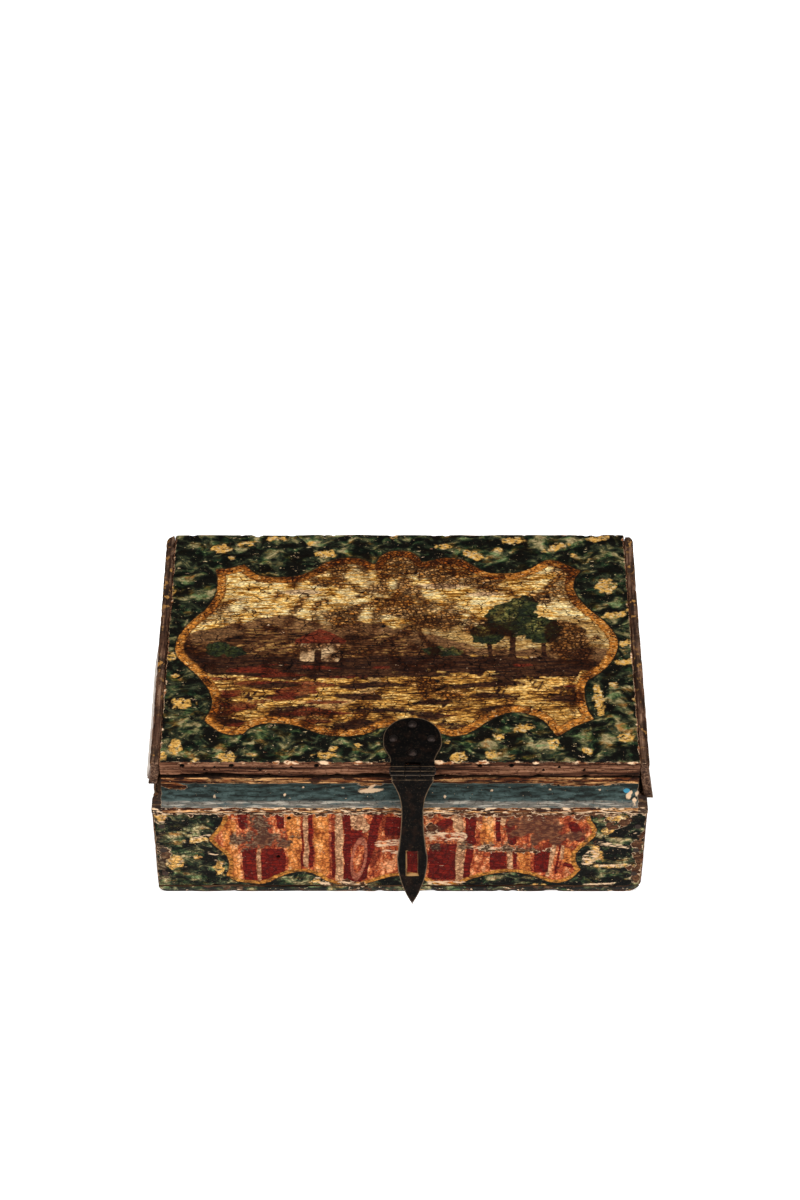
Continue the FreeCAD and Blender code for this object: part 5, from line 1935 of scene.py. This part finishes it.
@dataclass
class Hasp:
    """The iron hasp: a round plate nailed to the lid, a rolled hinge and a hanging strap with a slot."""

    middle: float = 8.7
    axis_y: float = -109.9
    axis_z: float = 121.3
    barrel_radius: float = 4.0
    pin_radius: float = 2.27
    barrel_half: float = 15.0
    knuckle_half: float = 5.0
    knuckle_gap: float = 0.3
    gap_depth: float = 3.8  # from the axis to the end of the plate's notch
    hinge_reach: float = 4.2  # distance from the axis that takes in the barrels
    groove: float = 0.35
    core_lines: int = 9  # grid lines over the core
    plate_lines: int = 14  # grid lines beside the core at each side, of the plate and of the strap
    strap_lines: int = 8
    crease: float = 35.0
    plate_y: float = -84.9
    plate_radius: float = 20.0
    plate_under: float = 123.7
    plate_thickness: float = 1.6
    lean: float = 16.22  # degrees out of the upright
    thickness: float = 2.5
    shoulder: float = 4.7  # distances along the strap from the axis, and half its widths there
    collar: float = 8.4
    shoulder_half: float = 14.3
    neck: float = 32.8
    neck_half: float = 7.5
    belly: float = 70.7
    belly_half: float = 10.5
    length: float = 109.2
    slot: Triple = (4.4, 65.0, 85.6)  # half its width, its start and its end
    taper: float = 0.8  # how far its edges come in at the back

    def build(self) -> None:
        """Makes the plate and the strap, each with its part of the hinge."""
        iron = ForgedIron("black_forged_iron").material()
        self.build_plate(iron)
        self.build_strap(iron)

    def centre(self) -> Array:
        """Middle of the hinge's axis."""
        return np.array([self.middle, self.axis_y, self.axis_z])

    def columns(self, half: Array, core: Array, side_count: int) -> Array:
        """Places across a plate for each row: even over a core and even from the core to each edge.

        Args:
            half: half the plate's width at each row.
            core: half the core's width at each row.
            side_count: lines beside the core, at each side.

        Returns:
            The places, rows by columns.
        """
        inner = np.linspace(-1, 1, self.core_lines)
        outer = np.linspace(0, 1, side_count + 1)[1:]
        left = -core[:, None] - (half - core)[:, None] * outer[::-1]
        right = core[:, None] + (half - core)[:, None] * outer
        return np.concatenate([left, core[:, None] * inner, right], axis=1)

    def build_plate(self, iron: Material) -> None:
        """Makes the plate: a disc that narrows to the hinge, slightly domed, with two rolled knuckles.

        Args:
            iron: its finish.
        """
        reach = self.plate_radius
        turn = np.linspace(0.06, math.pi / 2, 22)
        upper = self.plate_y + reach * np.cos(turn)
        lower = np.linspace(self.plate_y, self.axis_y, 30)[1:]
        lower = np.unique(np.append(lower, self.axis_y + self.gap_depth))[::-1]
        rows = np.concatenate([upper, lower])
        disc = np.sqrt(np.clip(reach**2 - (rows - self.plate_y) ** 2, 0.6, None))
        widening = smoothstep(self.axis_y + 5, self.plate_y - 4, rows)
        waist = self.barrel_half + (reach - self.barrel_half) * widening
        half = np.where(rows < self.plate_y, waist, disc)
        core = np.minimum(self.knuckle_half + self.knuckle_gap, 0.5 * half)
        across = self.columns(half, core, self.plate_lines)
        along = np.broadcast_to(rows[:, None], across.shape)
        rise = 0.5 * np.clip(1 - (across**2 + (along - self.plate_y) ** 2) / reach**2, 0, 1)
        place = np.stack([across.ravel(), along.ravel()], axis=1)
        rise = rise + 0.1 * waves(place, 9.0, 81).reshape(across.shape)
        top = np.stack([self.middle + across, along, self.plate_under + self.plate_thickness + rise], axis=-1)
        under = np.stack([self.middle + across, along, np.full(across.shape, self.plate_under)], axis=-1)
        kept = np.ones((len(rows) - 1, across.shape[1] - 1), bool)
        gap_cells = np.arange(self.plate_lines, self.plate_lines + self.core_lines - 1)
        open_rows = np.nonzero(rows[:-1] < self.axis_y + self.gap_depth + 0.1)[0]
        kept[np.ix_(open_rows, gap_cells)] = False
        sheet = sheet_piece(top, under, kept)
        radii = (self.pin_radius, self.barrel_radius)
        knuckles = []
        for sign in (-1, 1):
            ends = sorted((sign * self.barrel_half, sign * (self.knuckle_half + self.knuckle_gap)))
            starts = (self.middle + ends[0], self.middle + ends[1])
            knuckles.append(barrel(self.centre(), starts, radii, self.groove))
        points, faces = joined(sheet, *knuckles)
        x, y = points[:, 0] - self.middle, points[:, 1]
        side = np.interp(y, rows[::-1], half[::-1]) - np.abs(x)
        rim = np.minimum(side, reach - np.hypot(x, np.maximum(y - self.plate_y, 0)))
        # The plate's rim is brightened, rubbed metal with a painted highlight, and the hinge gets painted
        # highlight lines
        edge = np.where(y > self.axis_y + self.hinge_reach, cover(0.5 - rim, 0.6), self.hinge_highlight_lines(points))
        fields = {"edge": edge, "slot_rim_rust_and_highlight": np.zeros(len(points))}
        plate = add_piece("hasp_plate_forged", points, faces, fields, iron, self.crease)
        bevel_edges(plate, width=0.35)
        place_piece(plate, "lid", "black_iron", "hasp_plate")

    def hinge_highlight_lines(self, points: Array) -> Array:
        """Share of painted highlight on the rolled hinge: narrow bright lines beside its grooves and along
        its foot.

        Args:
            points: points of the plate or the strap.

        Returns:
            The share for each point.
        """
        ahead, rise = self.axis_y - points[:, 1], points[:, 2] - self.axis_z
        turn = np.arctan2(rise, ahead)
        lines = sum(bell(turn, angle, GROOVE_WIDTH) for angle in (-0.15, 0.72, 1.57))
        return np.where(np.hypot(ahead, rise) < self.hinge_reach, 0.8 * lines, 0.0)

    def half_width(self, s: Array) -> Array:
        """Half the strap's width at a distance from the hinge: a collar, then arcs to neck, belly and point.

        Args:
            s: distances from the hinge's axis in mm.

        Returns:
            Half the width at each.
        """
        flank = arc_radius(self.neck - self.collar, self.shoulder_half - self.neck_half)
        waist = arc_radius(self.belly - self.neck, self.belly_half - self.neck_half)
        point = arc_radius(self.length - self.belly, self.belly_half)
        above_neck = np.clip(self.neck - s, 0, self.neck - self.collar)
        below_neck = np.clip(s - self.neck, 0, self.belly - self.neck)
        upper = self.neck_half + flank - np.sqrt(flank**2 - above_neck**2)
        middle = self.neck_half + waist - np.sqrt(waist**2 - below_neck**2)
        lower = self.belly_half - point + np.sqrt(point**2 - np.clip(s - self.belly, 0, None) ** 2)
        half = np.where(s < self.neck, upper, np.where(s < self.belly, middle, lower))
        return np.where(s < self.shoulder - 0.2, self.knuckle_half, np.maximum(half, 0.3))

    def build_strap(self, iron: Material) -> None:
        """Makes the strap in its own plane, with a slot, then leans it out from the hinge's axis.

        Args:
            iron: its finish.
        """
        slot_half, slot_start, slot_end = self.slot
        rows = np.concatenate(
            [
                [1.5, 3.0, self.shoulder - 0.4, self.shoulder],
                np.linspace(self.shoulder, slot_start, 52)[1:],
                np.linspace(slot_start, slot_end, 20)[1:],
                np.linspace(slot_end, self.length, 28)[1:],
            ]
        )
        half = self.half_width(rows)
        core = np.minimum(slot_half, 0.6 * half)
        across = self.columns(half, core, self.strap_lines)
        along = np.broadcast_to(rows[:, None], across.shape)
        place = np.stack([across.ravel(), along.ravel()], axis=1)
        dent = (0.16 * waves(place, 10.0, 91) + 0.12 * waves(place, 4.5, 92)).reshape(across.shape)
        crown = 0.35 * (1 - (across / half[:, None]) ** 2)
        kept = np.ones((len(rows) - 1, across.shape[1] - 1), bool)
        beside_slot = (rows >= slot_start - 1e-6) & (rows <= slot_end + 1e-6)
        cut = np.nonzero(beside_slot[:-1] & beside_slot[1:])[0]
        kept[np.ix_(cut, np.arange(self.strap_lines, self.strap_lines + self.core_lines - 1))] = False
        outer = np.stack([across, along, self.thickness / 2 - 0.2 + crown * 0.6 + dent * 0.6], axis=-1)
        ends = np.isclose(rows, slot_start) * 1.0 - np.isclose(rows, slot_end) * 1.0
        back_rows = rows + self.taper * ends
        back_across = self.columns(half, core - self.taper * beside_slot, self.strap_lines)
        back_along = np.broadcast_to(back_rows[:, None], across.shape)
        inner = np.stack([back_across, back_along, np.full(across.shape, -self.thickness / 2)], axis=-1)
        points, faces = sheet_piece(outer, inner, kept)
        faces = faces[:, ::-1]
        # The strap's sides are brightened, rubbed metal with a painted highlight, and a painted highlight
        # line crosses it at the collar
        edge = cover(0.5 - (np.interp(points[:, 1], rows, half) - np.abs(points[:, 0])), 0.6)
        rim = panel(points[:, 0], points[:, 1], (-slot_half, slot_start), (slot_half, slot_end))
        edge = np.maximum(edge, 0.8 * bell(points[:, 1], self.collar - 1.0, 0.5))
        # Painted highlight: the slot's rim is at full strength on its left side and its far end, where the
        # light falls, and about half elsewhere
        lit = (points[:, 0] < -0.5 * slot_half) | (points[:, 1] > slot_end - 1.0)
        slot_rim_rust_and_highlight = cover(rim + 0.05, 0.4) * np.where(lit, 1.0, 0.52)
        lean = math.radians(self.lean)
        down = np.array([0.0, -math.sin(lean), -math.cos(lean)])
        out = np.array([0.0, -math.cos(lean), math.sin(lean)])
        sideways = points[:, :1] * np.array([1.0, 0, 0])
        hung = self.centre() + sideways + points[:, 1:2] * down + points[:, 2:] * out
        starts = (self.middle - self.knuckle_half, self.middle + self.knuckle_half)
        knuckle = barrel(self.centre(), starts, (self.pin_radius, self.barrel_radius), self.groove)
        points, faces = joined((hung, faces), knuckle)
        fields = {
            "edge": np.concatenate([edge, self.hinge_highlight_lines(knuckle[0])]),
            "slot_rim_rust_and_highlight": np.concatenate([slot_rim_rust_and_highlight, np.zeros(len(knuckle[0]))]),
        }
        strap = add_piece("hasp_strap_forged", points, faces, fields, iron, self.crease)
        bevel_edges(strap, width=0.4)
        place_piece(strap, "hasp", "black_iron", "hasp_strap")


@dataclass
class Fasteners:
    """The nails, brads and pins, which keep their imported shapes."""

    black: tuple[str, ...] = ("hasp_plate_nails", "hasp_pin")
    rusty: tuple[str, ...] = (
        "front_nails", "back_nails", "bottom_nails", "moulding_brads", "cheek_nails", "left_pivot_pin",
        "right_pivot_pin",
    )

    def dress(self) -> None:
        """Gives each node its iron."""
        black = ForgedIron("black_nail_iron", "#2A2320", edged=False, roughness=0.42).material()
        rusty = ForgedIron(
            "rusted_nail_iron", "#2A1C14", "#50301C", edged=False, metallic=0.4, roughness=0.62
        ).material()
        for names, iron in ((self.black, black), (self.rusty, rusty)):
            for name in names:
                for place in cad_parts[name].material_slots:
                    place.material = iron
                LOG.info("%s: dressed in %s", name, iron.name)


@dataclass
class Studio:
    """Pale floor, soft light from both sides and above, and the camera at the photograph's angle."""

    camera_place: Triple = (0.0002, -1.4534, 1.6539)
    camera_tilt: float = 44.49
    lens: float = 90.0
    long_side: float = 36.0
    floor_half: float = 6.0
    floor_colour: str = "#F4F3F1"
    world_colour: str = "#F2F4F7"
    world_strength: float = 0.2
    aim: Triple = (0.0, 0.0, 0.06)
    lamps: tuple[tuple[str, Triple, float, float], ...] = (
        ("left_softbox", (-1.9, -0.7, 1.7), 1.3, 28.0),
        ("right_softbox", (1.9, -0.7, 1.7), 1.3, 28.0),
        ("front_softbox", (0.0, -2.4, 1.5), 1.4, 9.0),
        ("top_softbox", (0.0, -0.3, 2.6), 1.6, 50.0),
    )

    def build(self) -> None:
        """Adds the floor, the world's light, the softboxes and the camera."""
        half = self.floor_half / MM
        corners = np.array([[-half, -half, 0], [half, -half, 0], [half, half, 0], [-half, half, 0]], float)
        floor = add_piece("studio_floor", corners, np.array([[0, 1, 2, 3]]), {}, self.floor_material())
        scene = bpy.context.scene
        scene.view_settings.view_transform = "Standard"
        world = bpy.data.worlds.new("studio")
        world.use_nodes = True
        background = world.node_tree.nodes["Background"]
        background.inputs["Color"].default_value = linear(self.world_colour)
        background.inputs["Strength"].default_value = self.world_strength
        scene.world = world
        for name, place, size, power in self.lamps:
            lamp = bpy.data.lights.new(name, "AREA")
            lamp.energy, lamp.size = power, size
            lamp_object = bpy.data.objects.new(name, lamp)
            lamp_object.location = place
            way = np.array(self.aim) - np.array(place)
            tilt = math.atan2(math.hypot(way[0], way[1]), -way[2])
            lamp_object.rotation_euler = (tilt, 0, math.atan2(-way[0], way[1]))
            scene.collection.objects.link(lamp_object)
        lens = bpy.data.cameras.new("camera")
        lens.lens, lens.sensor_width = self.lens, self.long_side
        camera = bpy.data.objects.new("camera", lens)
        camera.location = self.camera_place
        camera.rotation_euler = (math.radians(self.camera_tilt), 0, 0)
        scene.collection.objects.link(camera)
        scene.camera = camera

    def floor_material(self) -> Material:
        """Builds matt white card for the floor.

        Returns:
            The material.
        """
        g = Graph("matt_white_card")
        tooth = figure(g, (3.0, 3.0, 3.0), 2.0, 99.0)
        colour = layered(g, self.floor_colour, (above(g, tooth, 0.3, 0.8, 0.1), "#FFFFFF"))
        return g.finish(colour, 0.9, heights(g, (tooth, 0.01)), Specular_IOR_Level=0.1, Emission_Strength=0.5)


def main() -> None:
    """Builds the studio and the sub-assemblies in order, and dresses the fasteners."""
    logging.basicConfig(level=logging.INFO, format="%(name)s: %(message)s")
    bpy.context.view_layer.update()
    Studio().build()
    Case().build()
    Moulding().build()
    Lid().build()
    Hasp().build()
    Fasteners().dress()


if __name__ == "__main__":
    main()
